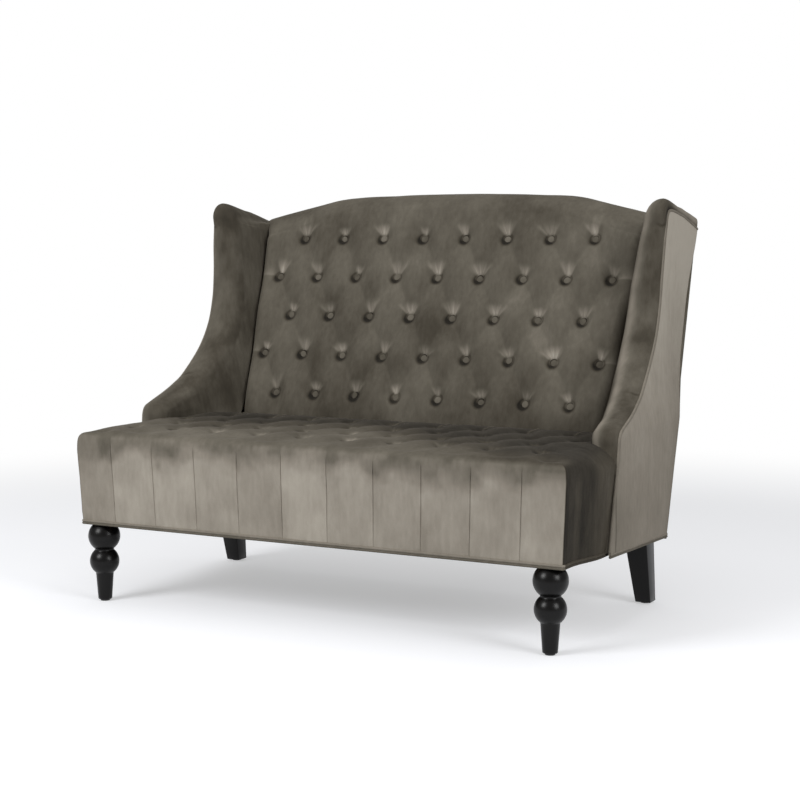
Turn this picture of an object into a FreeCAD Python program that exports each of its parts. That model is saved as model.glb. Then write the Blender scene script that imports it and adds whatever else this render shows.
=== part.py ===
"""Tufted wing-back loveseat, in millimetres.

X is to the right as seen from the front, the front is towards -Y, and the floor is at Z = 0.
"""
import FreeCAD, Part
import math
import os

# Overall sizes
WIDTH = 1276.0
DEPTH = 863.6
HEIGHT = 978.0

# Seat
SEAT_STEP = 10.0
SEAT_TOP = 410.0
SEAT_PAD = 124.0
SEAT_CROWN = 12.0
SEAT_TUFT_DEPTH = 20.0
SEAT_REAR_STEP = 47.7
SEAT_EDGE_RADIUS = 40.0
SEAT_SIDE_ROUND = 22.0
SEAT_HEM_INSET = 16.0
FRONT_HEM = 187.0
REAR_HEM = 168.0
SEAT_EAR_WIDTH = 62.0
SEAT_EAR_LAP = 28.0
PLEAT_DEPTH = 5.0
FACE_RISE = 4.0
REAR_FILL = 3.0
SEAT_FOLD = 9.0
SEAT_PLEAT_CROWN = 13.0
SEAT_TAIL = 50.0
EAR_SIDE_SHARE = 0.85
EAR_WALL = 28.0

# Back
BACK_RAKE = 21.7
BACK_FOOT_RISE = 60.0
BACK_BELOW = 76.0
BACK_CROWN = 24.0
BACK_FOLD = 11.0
BACK_PLEAT = 4.0
BACK_PLEAT_CROWN = 11.0
BACK_FOOT_FILL = 13.0
BACK_TOP_FILL = 19.0
OUTSIDE_RAKE = 16.4
OUTSIDE_FOOT_Z = 175.0
BACK_END_STEP = 134.0
BACK_END_LEAN = 0.077
CREST_RISE = 11.16
CREST_SHOULDER = 199.0
CREST_SLOPE = 0.178
CREST_ROLL = 44.0
CREST_TAIL = 52.0
CREST_SKIN = 12.0
CREST_INNER_STEP = 26.0
CREST_DEPTH = 115.45
CREST_OVERHANG = 20.42
COVER_SKIN = 5.0
TUFT_ROOM = 8.0
BACK_FOAM_STEP = 3.0

# Tufting
BACK_ROWS = 5
BACK_ROW_COUNT = 8
END_COLUMN_STEP = 36.4
TOP_ROW_STEP = 67.0
SEAT_ROWS = 4
SEAT_ROW_COUNT = 10
FIRST_ROW_STEP = 101.8
LAST_ROW_STEP = 99.0
BUTTON_DIAMETER = 18.0
BUTTON_THICKNESS = 6.0
BUTTON_CROWN = 0.65
BUTTON_SIDES = 8
PIT_HALF = 10.0

# Distance out of flat, as a share of a patch, that still counts as flat
FLATNESS = 1e-5

# Straight facets that make up each round stretch of the soft pieces
CELL_FACETS = 3
ROLL_FACETS = 3
FACE_FACETS = 2

# Wooden frame
RAIL_THICKNESS = 28.0
FRAME_STEP = 42.0
FRONT_PAD = 27.0
REAR_RAIL_GAP = 3.0
HEM_LAP = 5.0
POST_WIDTH = 40.0
STILE_WIDTH = 44.0
BACK_RAIL_THICKNESS = 26.0
BACK_RAIL_HEIGHT = 62.0
BACK_FOAM_THICKNESS = 41.0
LOWER_RAIL_DROP = 14.0
POST_DROP = 100.0
TOP_RAIL_DROP = 14.0
FOAM_DROP = 1.0
RAIL_DROP_START = 16.0
RAIL_DROP_RUN = 12.0
CROSS_RAIL_X = 200.0
CROSS_RAIL_DROP = 12.0
BLOCK_LEG = 92.0
BLOCK_THICKNESS = 44.0
PLY_THICKNESS = 18.0
PLY_INSET = 26.0

# Webbing and cloth
WEB_WIDTH = 60.0
WEB_THICKNESS = 2.0
WEB_INSET = 6.0
SEAT_STRAPS = 9
CROSS_STRAPS = 3
BACK_STRAPS = 7
CLOTH_THICKNESS = 1.0
DUST_COVER_THICKNESS = 1.2
DUST_COVER_STEP = 4.0
DUST_COVER_NOTCH = 34.0

# Wings
PANEL_THICKNESS = 3.5
WING_PAD = 20.0
WING_DROP = 21.0
WING_TOP_BAND = 27.0
WING_RUN = 374.0
WING_FALL = 0.31
WING_CREST_RUN = 400.0
ARM_RISE = 32.0
ARM_REACH = 281.7
ARM_WIDTH = 70.5
BAND_BULGE = 13.0
BAND_ROUND = 45.0
CORE_DROP = 52.0
CORE_STEP = 10.0
PANEL_REAR_STEP = 8.0
WELT_DIAMETER = 7.0
WELT_SEAT = 0.9

# Legs
GLIDE_THICKNESS = 3.0
GLIDE_DIAMETER = 22.0
FRONT_LEG_STEP = 61.0
FRONT_LEG_SETBACK = 41.8
UPPER_BULB = 76.0
LOWER_BULB = 70.0
LEG_HEAD = 28.0
BULB_TRIM = 14.0
LEG_UNDER_WELT = 1.5
UPPER_NECK = 47.0
NECK_LENGTH = 6.0
SHANK_TOP = 43.0
FRONT_FOOT = 33.0
FOOT_ROUND = 3.0
REAR_LEG_STEP = 63.0
REAR_LEG_AHEAD = 39.0
REAR_LEG_SPLAY_X = 5.0
REAR_LEG_SPLAY_Y = 40.0
REAR_LEG_TOP = 56.0
REAR_LEG_FOOT = 38.0
BOLT_DIAMETER = 8.0
BOLT_IN_LEG = 45.0
BOLT_IN_RAIL = 50.0
BOLT_CLEARANCE = 0.2

# Running clearance between pieces that lie against each other
SEAT_GAP = 0.3

# Places across, from the outside in
HALF_WIDTH = WIDTH / 2
SEAT_HALF = HALF_WIDTH - SEAT_STEP
EAR_START = SEAT_HALF - SEAT_EAR_WIDTH
EAR_HOLLOW_X = SEAT_HALF - EAR_WALL
FRAME_HALF = HALF_WIDTH - FRAME_STEP
WING_CORE_X = FRAME_HALF - WING_PAD
FRONT_LEG_X = HALF_WIDTH - FRONT_LEG_STEP
REAR_LEG_X = HALF_WIDTH - REAR_LEG_STEP
BACK_END_LOW = HALF_WIDTH - BACK_END_STEP
CREST_KNEE = BACK_END_LOW - CREST_SHOULDER
HALF_PITCH = (BACK_END_LOW - END_COLUMN_STEP) / BACK_ROW_COUNT
BUTTON_PITCH = 2 * HALF_PITCH
BACK_EDGE = BACK_ROW_COUNT * HALF_PITCH + PIT_HALF

# Heights
RAIL_TOP = SEAT_TOP - SEAT_PAD
DECK_TOP = RAIL_TOP + 2 * WEB_THICKNESS + CLOTH_THICKNESS
FOAM_TOP = SEAT_TOP - COVER_SKIN - TUFT_ROOM
LOWER_RAIL_Z = SEAT_TOP - LOWER_RAIL_DROP
ARM_HEIGHT = SEAT_TOP + ARM_RISE
BACK_FOOT_Z = SEAT_TOP + BACK_FOOT_RISE
POST_TOP = HEIGHT - POST_DROP
WING_TOP = HEIGHT - WING_DROP
PANEL_TOP = WING_TOP - WING_TOP_BAND
CORE_TOP = WING_TOP - CORE_DROP

# Slopes of the inside and the outside of the back, which meet the rear of the crest
RAKE = math.radians(BACK_RAKE)
OUT_RAKE = math.radians(OUTSIDE_RAKE)
BACK_FOOT_Y = DEPTH / 2 - CREST_DEPTH - (HEIGHT - CREST_ROLL - BACK_FOOT_Z) * math.tan(RAKE)
OUTSIDE_FOOT_Y = DEPTH / 2 - CREST_OVERHANG - (HEIGHT - CREST_ROLL - OUTSIDE_FOOT_Z) * math.tan(OUT_RAKE)
SLOPE_END = (HEIGHT - CREST_ROLL - BACK_FOOT_Z - BACK_TOP_FILL * math.sin(RAKE)) / math.cos(RAKE)
BACK_ROW_PITCH = (SLOPE_END - TOP_ROW_STEP) / (BACK_ROWS - 1)

# Places from front to back
FRONT_Y = -DEPTH / 2
RAIL_FRONT = FRONT_Y + FRONT_PAD
FRONT_LEG_Y = FRONT_Y + FRONT_LEG_SETBACK
REAR_LEG_Y = OUTSIDE_FOOT_Y - REAR_LEG_AHEAD
SEAT_END = BACK_FOOT_Y - SEAT_REAR_STEP
SEAT_FIRST_ROW = FRONT_Y + FIRST_ROW_STEP
SEAT_ROW_PITCH = (SEAT_END - LAST_ROW_STEP - SEAT_FIRST_ROW) / (SEAT_ROWS - 1)
ARM_FRONT = BACK_FOOT_Y - ARM_REACH
SEAT_EAR_END = ARM_FRONT + SEAT_EAR_LAP

# Planes of the back, behind its buttons
PAD_BACK = COVER_SKIN + BACK_FOAM_THICKNESS
FRAME_FRONT = PAD_BACK + WEB_THICKNESS
FRAME_REAR = -FRAME_FRONT - BACK_RAIL_THICKNESS


def vec(x, y, z):
    return FreeCAD.Vector(x, y, z)


def hem_height(y):
    """Height of the bottom edge of the upholstery, which falls slightly towards the back."""
    return FRONT_HEM + (REAR_HEM - FRONT_HEM) * (y - FRONT_Y) / (OUTSIDE_FOOT_Y - FRONT_Y)


def outside_y(z):
    """Outside back surface at a height."""
    return OUTSIDE_FOOT_Y + (z - OUTSIDE_FOOT_Z) * math.tan(OUT_RAKE)


def panel_rear_y(z):
    """Rear edge of the wings and their outer panels."""
    return outside_y(z) - PANEL_REAR_STEP


def back_point(v, w):
    """Point (y, z) at v up the back's slope and w out of its button plane."""
    y = BACK_FOOT_Y + v * math.sin(RAKE) - w * math.cos(RAKE)
    z = BACK_FOOT_Z + v * math.cos(RAKE) + w * math.sin(RAKE)
    return y, z


def slope_at(z, w):
    """Distance up the slope at which the plane w out of the buttons reaches height z."""
    return (z - BACK_FOOT_Z - w * math.sin(RAKE)) / math.cos(RAKE)


def plane_y(z, w):
    return back_point(slope_at(z, w), w)[0]


def crest_height(x):
    """Camel-back top line: a flat arch between two knees, then straight falls to the wings."""
    arch = min(abs(x) / CREST_KNEE, 1.0) ** 2
    outer = max(abs(x) - CREST_KNEE, 0.0)
    return HEIGHT - CREST_RISE * arch - CREST_SLOPE * outer


def back_end(z):
    """Half width of the inside back, which widens towards the crest."""
    return BACK_END_LOW + BACK_END_LEAN * (z - BACK_FOOT_Z)


# Shape helpers

def mirrored(shape):
    return shape.mirror(vec(0, 0, 0), vec(1, 0, 0))


def box(x0, x1, y0, y1, z0, z1):
    return Part.makeBox(x1 - x0, y1 - y0, z1 - z0, vec(x0, y0, z0))


def side_plate(points, x0, x1):
    """A plate with a (y, z) outline, from x0 to x1."""
    corners = [vec(x0, y, z) for y, z in points]
    face = Part.Face(ring(corners))
    return face.extrude(vec(x1 - x0, 0, 0))


def plan_plate(points, z0, z1):
    """A plate with an (x, y) outline, from z0 to z1."""
    corners = [vec(x, y, z0) for x, y in points]
    face = Part.Face(ring(corners))
    return face.extrude(vec(0, 0, z1 - z0))


def arc_points(start, end, along, steps):
    """Points in a plane on the arc from start to end that lies along a direction where it starts."""
    chord = (end[0] - start[0], end[1] - start[1])
    turn = math.atan2(chord[0] * along[1] - chord[1] * along[0], chord[0] * along[0] + chord[1] * along[1])
    points = []
    for i in range(steps + 1):
        reach = math.sin(turn * i / steps) / math.sin(turn)
        swing = turn * (1 - i / steps)
        across = chord[0] * math.cos(swing) - chord[1] * math.sin(swing)
        up = chord[0] * math.sin(swing) + chord[1] * math.cos(swing)
        points.append((start[0] + reach * across, start[1] + reach * up))
    return points


def ring(points):
    """Closed wire of straight edges."""
    return Part.makePolygon(points + points[:1])


def patch(a, b, c, d):
    """Faces over the patch a, b, c, d: one where it is flat, else two along its shorter diagonal."""
    out_of_plane = (b - a).cross(d - a).dot(c - a)
    if abs(out_of_plane) < FLATNESS * (b - a).Length * (d - a).Length:
        return [Part.Face(ring([a, b, c, d]))]
    if (a - c).Length <= (b - d).Length:
        return [Part.Face(ring([a, b, c])), Part.Face(ring([a, c, d]))]
    return [Part.Face(ring([a, b, d])), Part.Face(ring([b, c, d]))]


def lofted(sections):
    """Solid through sections of as many points each, with flat faces between them."""
    faces = [Part.Face(ring(sections[0])), Part.Face(ring(sections[-1]))]
    for near, far in zip(sections, sections[1:]):
        for i in range(len(near)):
            faces += patch(near[i - 1], near[i], far[i], far[i - 1])
    shell = Part.makeShell(faces)
    shell.sewShape()
    solid = Part.makeSolid(shell)
    if solid.Volume < 0:
        solid.reverse()
    return solid


def save(name, *shapes):
    """One STEP file for each named piece, with all the solids of that piece."""
    solids = [solid for shape in shapes for solid in shape.Solids]
    shape = solids[0] if len(solids) == 1 else Part.makeCompound(solids)
    shape.exportStep(os.path.join("parts", name + ".step"))


# Tufting: rows of pits that swap places between columns, with a padded cell between them

def tuft_cells(rows, pitch, first, start, end, kind):
    """Stretches between pits along a section, as (from, to) pairs.

    kind 0 has pits on the even rows, kind 1 on the odd rows, and kind None is half way between two columns.
    """
    places = [first + pitch * i for i in range(rows)]
    if kind is None:
        stops = [(a + b) / 2 for a, b in zip(places, places[1:])]
        edges = [start] + [p for stop in stops for p in (stop, stop)] + [end]
    else:
        stops = places[kind::2]
        edges = [start] + [p for stop in stops for p in (stop - PIT_HALF, stop + PIT_HALF)] + [end]
    return list(zip(edges[::2], edges[1::2]))


def tuft_height(position, cells, floor, crowns, ends):
    """Height of the padding over the pit floor at a position along a section.

    crowns holds the first, the middle and the last cells' crowns, and ends the heights at the two ends.
    """
    last = len(cells) - 1
    for i, (a, b) in enumerate(cells):
        if a <= position <= b:
            low = ends[0] if i == 0 else floor
            high = ends[1] if i == last else floor
            crown = crowns[0] if i == 0 else crowns[2] if i == last else crowns[1]
            t = (position - a) / (b - a)
            chord = low + (high - low) * t
            return chord + (crown - (low + high) / 2) * 4 * t * (1 - t)
    return floor


def tuft_stops(rows, pitch, first, start, end, kind):
    """Where a section's edges meet: as many as there are rows, plus the two ends."""
    places = [first + pitch * i for i in range(rows)]
    stops = [start, places[0] - PIT_HALF]
    for i in range(1, rows):
        if kind is None:
            stops.append((places[i - 1] + places[i]) / 2)
        elif i % 2 == kind:
            stops.append(places[i] - PIT_HALF)
        else:
            stops.append(places[i - 1] + PIT_HALF)
    return stops + [places[-1] + PIT_HALF, end]


def tufted_run(rows, pitch, first, start, end, kind, floor, crowns, ends):
    """Points (position, height) of one tufted section, as many in every section."""
    cells = tuft_cells(rows, pitch, first, start, end, kind)
    stops = tuft_stops(rows, pitch, first, start, end, kind)
    places = [start]
    for a, b in zip(stops, stops[1:]):
        places += [a + (b - a) * (i + 1) / CELL_FACETS for i in range(CELL_FACETS)]
    return [(p, tuft_height(p, cells, floor, crowns, ends)) for p in places]


def column_kind(index):
    """Kind of section for a half-pitch column: the odd columns have the pits of the even rows."""
    return 0 if index % 2 else 1


# Inside back

def back_stations():
    """(x, kind) of each vertical section of the inside back, from one wing to the other."""
    last = BACK_ROW_COUNT
    stations = []
    for index in range(-last, last + 1):
        x = index * HALF_PITCH
        kind = column_kind(index)
        stations += [(x - PIT_HALF, kind), (x + PIT_HALF, kind)]
        if index < last:
            stations.append((x + HALF_PITCH / 2, None))
    return stations


def back_section(x, kind, pulled=0.0, leaning=None):
    """Closed section of the inside back cover, from its tuck at the seat over the crest and down behind."""
    top = crest_height(x)
    floor = BACK_FOLD if kind is None else 0.0
    crown = BACK_CROWN - pulled
    pleat = BACK_PLEAT_CROWN if kind == 0 else crown
    groove = BACK_PLEAT if kind == 0 else 0.0
    bottom, front = BACK_FOOT_FILL - groove, BACK_TOP_FILL - groove
    start = -BACK_BELOW
    end = slope_at(top - CREST_ROLL, front)
    crowns = (pleat, crown, pleat)
    run = tufted_run(BACK_ROWS, BACK_ROW_PITCH, 0.0, start, end, kind, floor, crowns, (bottom, front))
    outline = [back_point(v, w) for v, w in run]
    rear_y = DEPTH / 2 - (HEIGHT - top) * math.tan(OUT_RAKE) - pulled
    summit = ((outline[-1][0] + rear_y) / 2, top)
    tail_z = top - CREST_TAIL
    tail_y = outside_y(tail_z)
    inner_top = top - CREST_SKIN
    outline += arc_points(summit, outline[-1], (-1, 0), ROLL_FACETS)[-2::-1]
    outline += arc_points(summit, (rear_y, top - CREST_ROLL), (1, 0), ROLL_FACETS)[1:]
    outline += [
        (tail_y, tail_z),
        (tail_y - COVER_SKIN, tail_z),
        (rear_y - CREST_INNER_STEP, inner_top),
        back_point(slope_at(inner_top, -COVER_SKIN), -COVER_SKIN),
        back_point(start, -COVER_SKIN),
    ]
    return [vec(leaning(z) if leaning else x, y, z) for y, z in outline]


def back_cover():
    """Diamond-tufted inside back in one piece with the roll over the crest."""
    sections = [back_section(x, kind) for x, kind in back_stations()]
    first = back_section(-BACK_END_LOW, 1, 9.0, lambda z: -back_end(z))
    last = back_section(BACK_END_LOW, 1, 9.0, back_end)
    return lofted([first] + sections + [last])


def button_blank():
    """Covered button: a low dome on a polygon, standing on the origin."""
    def disc(radius, z):
        angles = [2 * math.pi * i / BUTTON_SIDES for i in range(BUTTON_SIDES)]
        return [vec(radius * math.cos(angle), radius * math.sin(angle), z) for angle in angles]

    radius = BUTTON_DIAMETER / 2
    return lofted([disc(radius, 0), disc(radius * BUTTON_CROWN, BUTTON_THICKNESS)])


def row_columns(count):
    """x of the buttons in a row of so many, about the middle."""
    return [(i - (count - 1) / 2) * BUTTON_PITCH for i in range(count)]


def back_buttons():
    """Five rows of buttons, each lying in its pit square to the back's slope."""
    tilt = FreeCAD.Placement(vec(0, 0, 0), FreeCAD.Rotation(vec(1, 0, 0), 90 - BACK_RAKE))
    buttons = []
    for row in range(BACK_ROWS):
        y, z = back_point(row * BACK_ROW_PITCH, SEAT_GAP)
        for x in row_columns(BACK_ROW_COUNT + row % 2):
            button = button_blank()
            button.Placement = FreeCAD.Placement(vec(x, y, z), tilt.Rotation)
            buttons.append(button)
    return buttons


# Seat cover

def seat_front(groove=0.0):
    """Points (y, z) up the seat's front face and over its rolled edge, drawn in where a pleat runs."""
    foot = (FRONT_Y + SEAT_HEM_INSET, FRONT_HEM)
    brow = (FRONT_Y, SEAT_TOP - SEAT_EDGE_RADIUS - FACE_RISE)
    edge = (FRONT_Y + SEAT_EDGE_RADIUS, SEAT_TOP)
    face = arc_points(brow, foot, (0, -1), FACE_FACETS)[::-1]
    roll = arc_points(brow, edge, (0, 1), ROLL_FACETS)
    last = len(roll) - 1
    drawn = [(y + groove * (1 - i / last), z) for i, (y, z) in enumerate(roll)]
    return [(foot[0] + groove / 2, foot[1])] + [(y + groove, z) for y, z in face[1:-1]] + drawn


def seat_stations():
    """(x, kind, groove) of each vertical section of the seat, pleated in front at each button of a wide row."""
    last = SEAT_ROW_COUNT - 1
    stations = []
    for index in range(-last, last + 1):
        x = index * HALF_PITCH
        kind = column_kind(index)
        stations.append((x - PIT_HALF, kind, 0.0))
        if kind == 0:
            stations.append((x, kind, PLEAT_DEPTH))
        stations.append((x + PIT_HALF, kind, 0.0))
        if index < last:
            stations.append((x + HALF_PITCH / 2, None, 0.0))
    return stations


def seat_section(x, kind, groove, pulled=0.0):
    """Closed section of the seat cover: up the front face, over the tufted top and down behind."""
    floor_z = SEAT_TOP + SEAT_CROWN - SEAT_TUFT_DEPTH
    floor = SEAT_FOLD if kind is None else 0.0
    crown = SEAT_TUFT_DEPTH - pulled
    crowns = (SEAT_PLEAT_CROWN if kind == 0 else crown, crown, SEAT_PLEAT_CROWN if kind == 1 else crown)
    edge = SEAT_TOP - floor_z
    ends = (edge, edge if kind == 1 else edge + REAR_FILL)
    start = FRONT_Y + SEAT_EDGE_RADIUS
    front = seat_front(groove)
    run = tufted_run(SEAT_ROWS, SEAT_ROW_PITCH, SEAT_FIRST_ROW, start, SEAT_END, kind, floor, crowns, ends)
    tail = FOAM_TOP - SEAT_TAIL
    outline = front + [(y, floor_z + w) for y, w in run[1:]] + [
        (SEAT_END, tail),
        (SEAT_END - COVER_SKIN, tail),
        (SEAT_END - COVER_SKIN, FOAM_TOP),
        (RAIL_FRONT + COVER_SKIN, FOAM_TOP),
        (RAIL_FRONT, FOAM_TOP - COVER_SKIN),
        (RAIL_FRONT, FRONT_HEM),
    ]
    return [vec(x, y, z) for y, z in outline]


def wing_side(x_sign, clearance):
    """Plan of the room that one wing takes beside the seat, from the arm's front to behind the back."""
    inner_front = EAR_START + SEAT_GAP - clearance
    inner_rear = back_end(SEAT_TOP) - clearance
    front = SEAT_EAR_END - clearance
    outer, rear = HALF_WIDTH, OUTSIDE_FOOT_Y
    inner = [(inner_front, front), (inner_rear, SEAT_END), (inner_rear, rear)]
    return [(x_sign * x, y) for x, y in inner + [(outer, rear), (outer, front)]]


def seat_cover():
    """Velvet top and pleated front of the seat with its wadding, notched beside the wings."""
    sections = [seat_section(*station) for station in seat_stations()]
    side = SEAT_TUFT_DEPTH * 0.4
    first = seat_section(-EAR_START, None, 0.0, side)
    last = seat_section(EAR_START, None, 0.0, side)
    cover = lofted([first] + sections + [last])
    for x_sign in (-1, 1):
        notch = plan_plate(wing_side(x_sign, SEAT_GAP), FRONT_HEM, SEAT_TOP + SEAT_TUFT_DEPTH)
        cover = cover.cut(notch)
    return cover


def seat_side_cover():
    """Right end of the seat, with a rounded corner, hollow for the rails and the foam."""
    sections = []
    for y, z in seat_front():
        side = SEAT_HALF - (y - FRONT_Y) * EAR_SIDE_SHARE
        corner = arc_points((side, y + SEAT_SIDE_ROUND), (side - SEAT_SIDE_ROUND, y), (0, -1), ROLL_FACETS)
        plan = [(EAR_START, SEAT_EAR_END), (side, SEAT_EAR_END)] + corner + [(EAR_START, y)]
        sections.append([vec(px, py, z) for px, py in plan])
    hollow = box(EAR_START - 1, EAR_HOLLOW_X, RAIL_FRONT, SEAT_EAR_END + 1, FRONT_HEM - 1, FOAM_TOP)
    return lofted(sections).cut(hollow)


def seat_foam():
    """T-shaped seat foam on the deck, narrower between the wings."""
    front = RAIL_FRONT + COVER_SKIN
    block = box(-EAR_START, EAR_START, front, SEAT_END - COVER_SKIN, DECK_TOP, FOAM_TOP)
    front_strip = box(-EAR_HOLLOW_X, EAR_HOLLOW_X, front, SEAT_EAR_END, DECK_TOP, FOAM_TOP)
    foam = block.fuse(front_strip)
    for x_sign in (-1, 1):
        foam = foam.cut(plan_plate(wing_side(x_sign, SEAT_GAP), DECK_TOP - 1, FOAM_TOP + 1))
    return foam.removeSplitter()


def seat_buttons():
    """Four rows of buttons, each lying in its pit."""
    z = SEAT_TOP + SEAT_CROWN - SEAT_TUFT_DEPTH + SEAT_GAP
    buttons = []
    for row in range(SEAT_ROWS):
        y = SEAT_FIRST_ROW + row * SEAT_ROW_PITCH
        for x in row_columns(SEAT_ROW_COUNT - row % 2):
            buttons.append(button_blank().translated(vec(x, y, z)))
    return buttons


# Wooden frame under the seat

def rail_bottom(y):
    return hem_height(y) + HEM_LAP


def rail_outline(y0, y1, top):
    """Side outline of a seat rail, whose bottom edge follows the hem."""
    return [(y0, rail_bottom(y0)), (y1, rail_bottom(y1)), (y1, top), (y0, top)]


def drilled(shape):
    """A piece of the frame with the holes for the leg bolts."""
    for x, y in bolt_places():
        shape = shape.cut(bolt_hole(x, y))
    return shape


def front_seat_rail():
    y0, y1 = RAIL_FRONT, RAIL_FRONT + RAIL_THICKNESS
    return drilled(side_plate(rail_outline(y0, y1, RAIL_TOP), -FRAME_HALF, FRAME_HALF))


def rear_rail_y():
    """Front and rear faces of the rear seat rail, which stands just inside the outside back."""
    rear = outside_y(rail_bottom(OUTSIDE_FOOT_Y)) - PANEL_THICKNESS - REAR_RAIL_GAP
    return rear - RAIL_THICKNESS, rear


def rear_seat_rail():
    y0, y1 = rear_rail_y()
    return drilled(side_plate(rail_outline(y0, y1, RAIL_TOP), -FRAME_HALF, FRAME_HALF))


def side_seat_rail():
    y0, y1 = RAIL_FRONT + RAIL_THICKNESS, rear_rail_y()[0]
    return side_plate(rail_outline(y0, y1, RAIL_TOP), FRAME_HALF - RAIL_THICKNESS, FRAME_HALF)


def seat_cross_rails():
    """Two rails from front to back, set down so that the webbing can give."""
    y0, y1 = RAIL_FRONT + RAIL_THICKNESS, rear_rail_y()[0]
    outline = rail_outline(y0, y1, RAIL_TOP - CROSS_RAIL_DROP)
    half = RAIL_THICKNESS / 2
    return [side_plate(outline, x - half, x + half) for x in (-CROSS_RAIL_X, CROSS_RAIL_X)]


def corner_block(y_rail, inward):
    """Three-cornered block in a corner of the seat frame; inward is the way to the middle along Y."""
    x = FRAME_HALF - RAIL_THICKNESS
    low = rail_bottom(y_rail if inward > 0 else y_rail - BLOCK_LEG)
    points = [(x, y_rail), (x, y_rail + inward * BLOCK_LEG), (x - BLOCK_LEG, y_rail)]
    return plan_plate(points, low, low + BLOCK_THICKNESS)


# Back frame, in planes w behind the buttons

def back_plate(points, x0, x1):
    """A plate between x0 and x1 with an outline of (v, w) points in the back's slope."""
    return side_plate([back_point(v, w) for v, w in points], x0, x1)


def level_end(z, w):
    """Outline point (v, w) at a height, so that the end of a sloping member is cut level."""
    return slope_at(z, w), w


def level_cut(low, high, w0, w1):
    """Outline (v, w) of a member that follows the back's slope, with level ends."""
    return [level_end(low, w0), level_end(high, w0), level_end(high, w1), level_end(low, w1)]


def back_post():
    """Right upright of the back, standing on the side rail inside the wing's plywood."""
    outline = level_cut(RAIL_TOP, POST_TOP, -FRAME_FRONT, FRAME_REAR)
    return back_plate(outline, FRAME_HALF - POST_WIDTH, FRAME_HALF)


def back_lower_rail():
    outline = level_cut(LOWER_RAIL_Z, LOWER_RAIL_Z + BACK_RAIL_HEIGHT, -FRAME_FRONT, FRAME_REAR)
    half = FRAME_HALF - POST_WIDTH
    return back_plate(outline, -half, half)


def back_top_rail():
    """Shaped top rail: it follows the crest under the padding and drops to the posts at its ends."""
    half = FRAME_HALF - POST_WIDTH
    foot = POST_TOP - BACK_RAIL_HEIGHT
    drop = back_end(POST_TOP) - RAIL_DROP_START
    right = [(x, crest_height(x) - CREST_SKIN - TOP_RAIL_DROP) for x in (CREST_KNEE / 2, CREST_KNEE, drop)]
    right += [(drop + RAIL_DROP_RUN, POST_TOP), (half, POST_TOP)]
    middle = [(0, crest_height(0) - CREST_SKIN - TOP_RAIL_DROP)]
    sections = []
    for x, high in [(-x, z) for x, z in reversed(right)] + middle + right:
        ends = level_cut(foot, high, -FRAME_FRONT, FRAME_REAR)
        sections.append([vec(x, *back_point(v, w)) for v, w in ends])
    return lofted(sections)


def back_centre_stile():
    low, high = LOWER_RAIL_Z + BACK_RAIL_HEIGHT, POST_TOP - BACK_RAIL_HEIGHT
    outline = level_cut(low, high, -FRAME_FRONT, FRAME_REAR)
    return back_plate(outline, -STILE_WIDTH / 2, STILE_WIDTH / 2)


def back_webbing():
    """Upright straps tacked to the face of the two back rails."""
    pitch = 2 * back_end(BACK_FOOT_Z) / BACK_STRAPS
    outline = level_cut(LOWER_RAIL_Z + WEB_INSET, POST_TOP - WEB_INSET, -PAD_BACK, -FRAME_FRONT)
    middle = (BACK_STRAPS - 1) / 2
    straps = []
    for i in range(BACK_STRAPS):
        x = (i - middle) * pitch
        straps.append(back_plate(outline, x - WEB_WIDTH / 2, x + WEB_WIDTH / 2))
    return straps


def back_foam():
    """Foam slab behind the tufted cover, shaped to the crest, with ends that lean like the cover's."""
    w0, w1 = -COVER_SKIN, -PAD_BACK
    sections = []
    for x in (-BACK_END_LOW, -BACK_EDGE, -CREST_KNEE, 0, CREST_KNEE, BACK_EDGE, BACK_END_LOW):
        high = crest_height(x) - CREST_SKIN - FOAM_DROP
        ends = [(-BACK_BELOW, w0), level_end(high, w0), level_end(high, w1), (-BACK_BELOW, w1)]
        outline = [back_point(v, w) for v, w in ends]
        if abs(x) < BACK_END_LOW:
            sections.append([vec(x, y, z) for y, z in outline])
        else:
            sections.append([vec(math.copysign(back_end(z) - BACK_FOAM_STEP, x), y, z) for y, z in outline])
    return lofted(sections)


# Seat webbing and cloths

def seat_webbing_long():
    """Straps from the front rail to the rear rail."""
    y0, y1 = RAIL_FRONT + WEB_INSET, rear_rail_y()[1] - WEB_INSET
    pitch = 2 * (FRAME_HALF - RAIL_THICKNESS) / SEAT_STRAPS
    middle = (SEAT_STRAPS - 1) / 2
    half = WEB_WIDTH / 2
    places = [(i - middle) * pitch for i in range(SEAT_STRAPS)]
    return [box(x - half, x + half, y0, y1, RAIL_TOP, RAIL_TOP + WEB_THICKNESS) for x in places]


def seat_webbing_cross():
    """Straps from side rail to side rail, over the long ones."""
    start, end = RAIL_FRONT + RAIL_THICKNESS, SEAT_END
    pitch = (end - start) / CROSS_STRAPS
    low = RAIL_TOP + WEB_THICKNESS
    half = WEB_WIDTH / 2
    places = [start + (i + 0.5) * pitch for i in range(CROSS_STRAPS)]
    return [box(-FRAME_HALF, FRAME_HALF, y - half, y + half, low, low + WEB_THICKNESS) for y in places]


def seat_deck_cloth():
    low = RAIL_TOP + 2 * WEB_THICKNESS
    half = back_end(SEAT_TOP) - SEAT_GAP
    return box(-half, half, RAIL_FRONT + COVER_SKIN, SEAT_END, low, low + CLOTH_THICKNESS)


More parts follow.
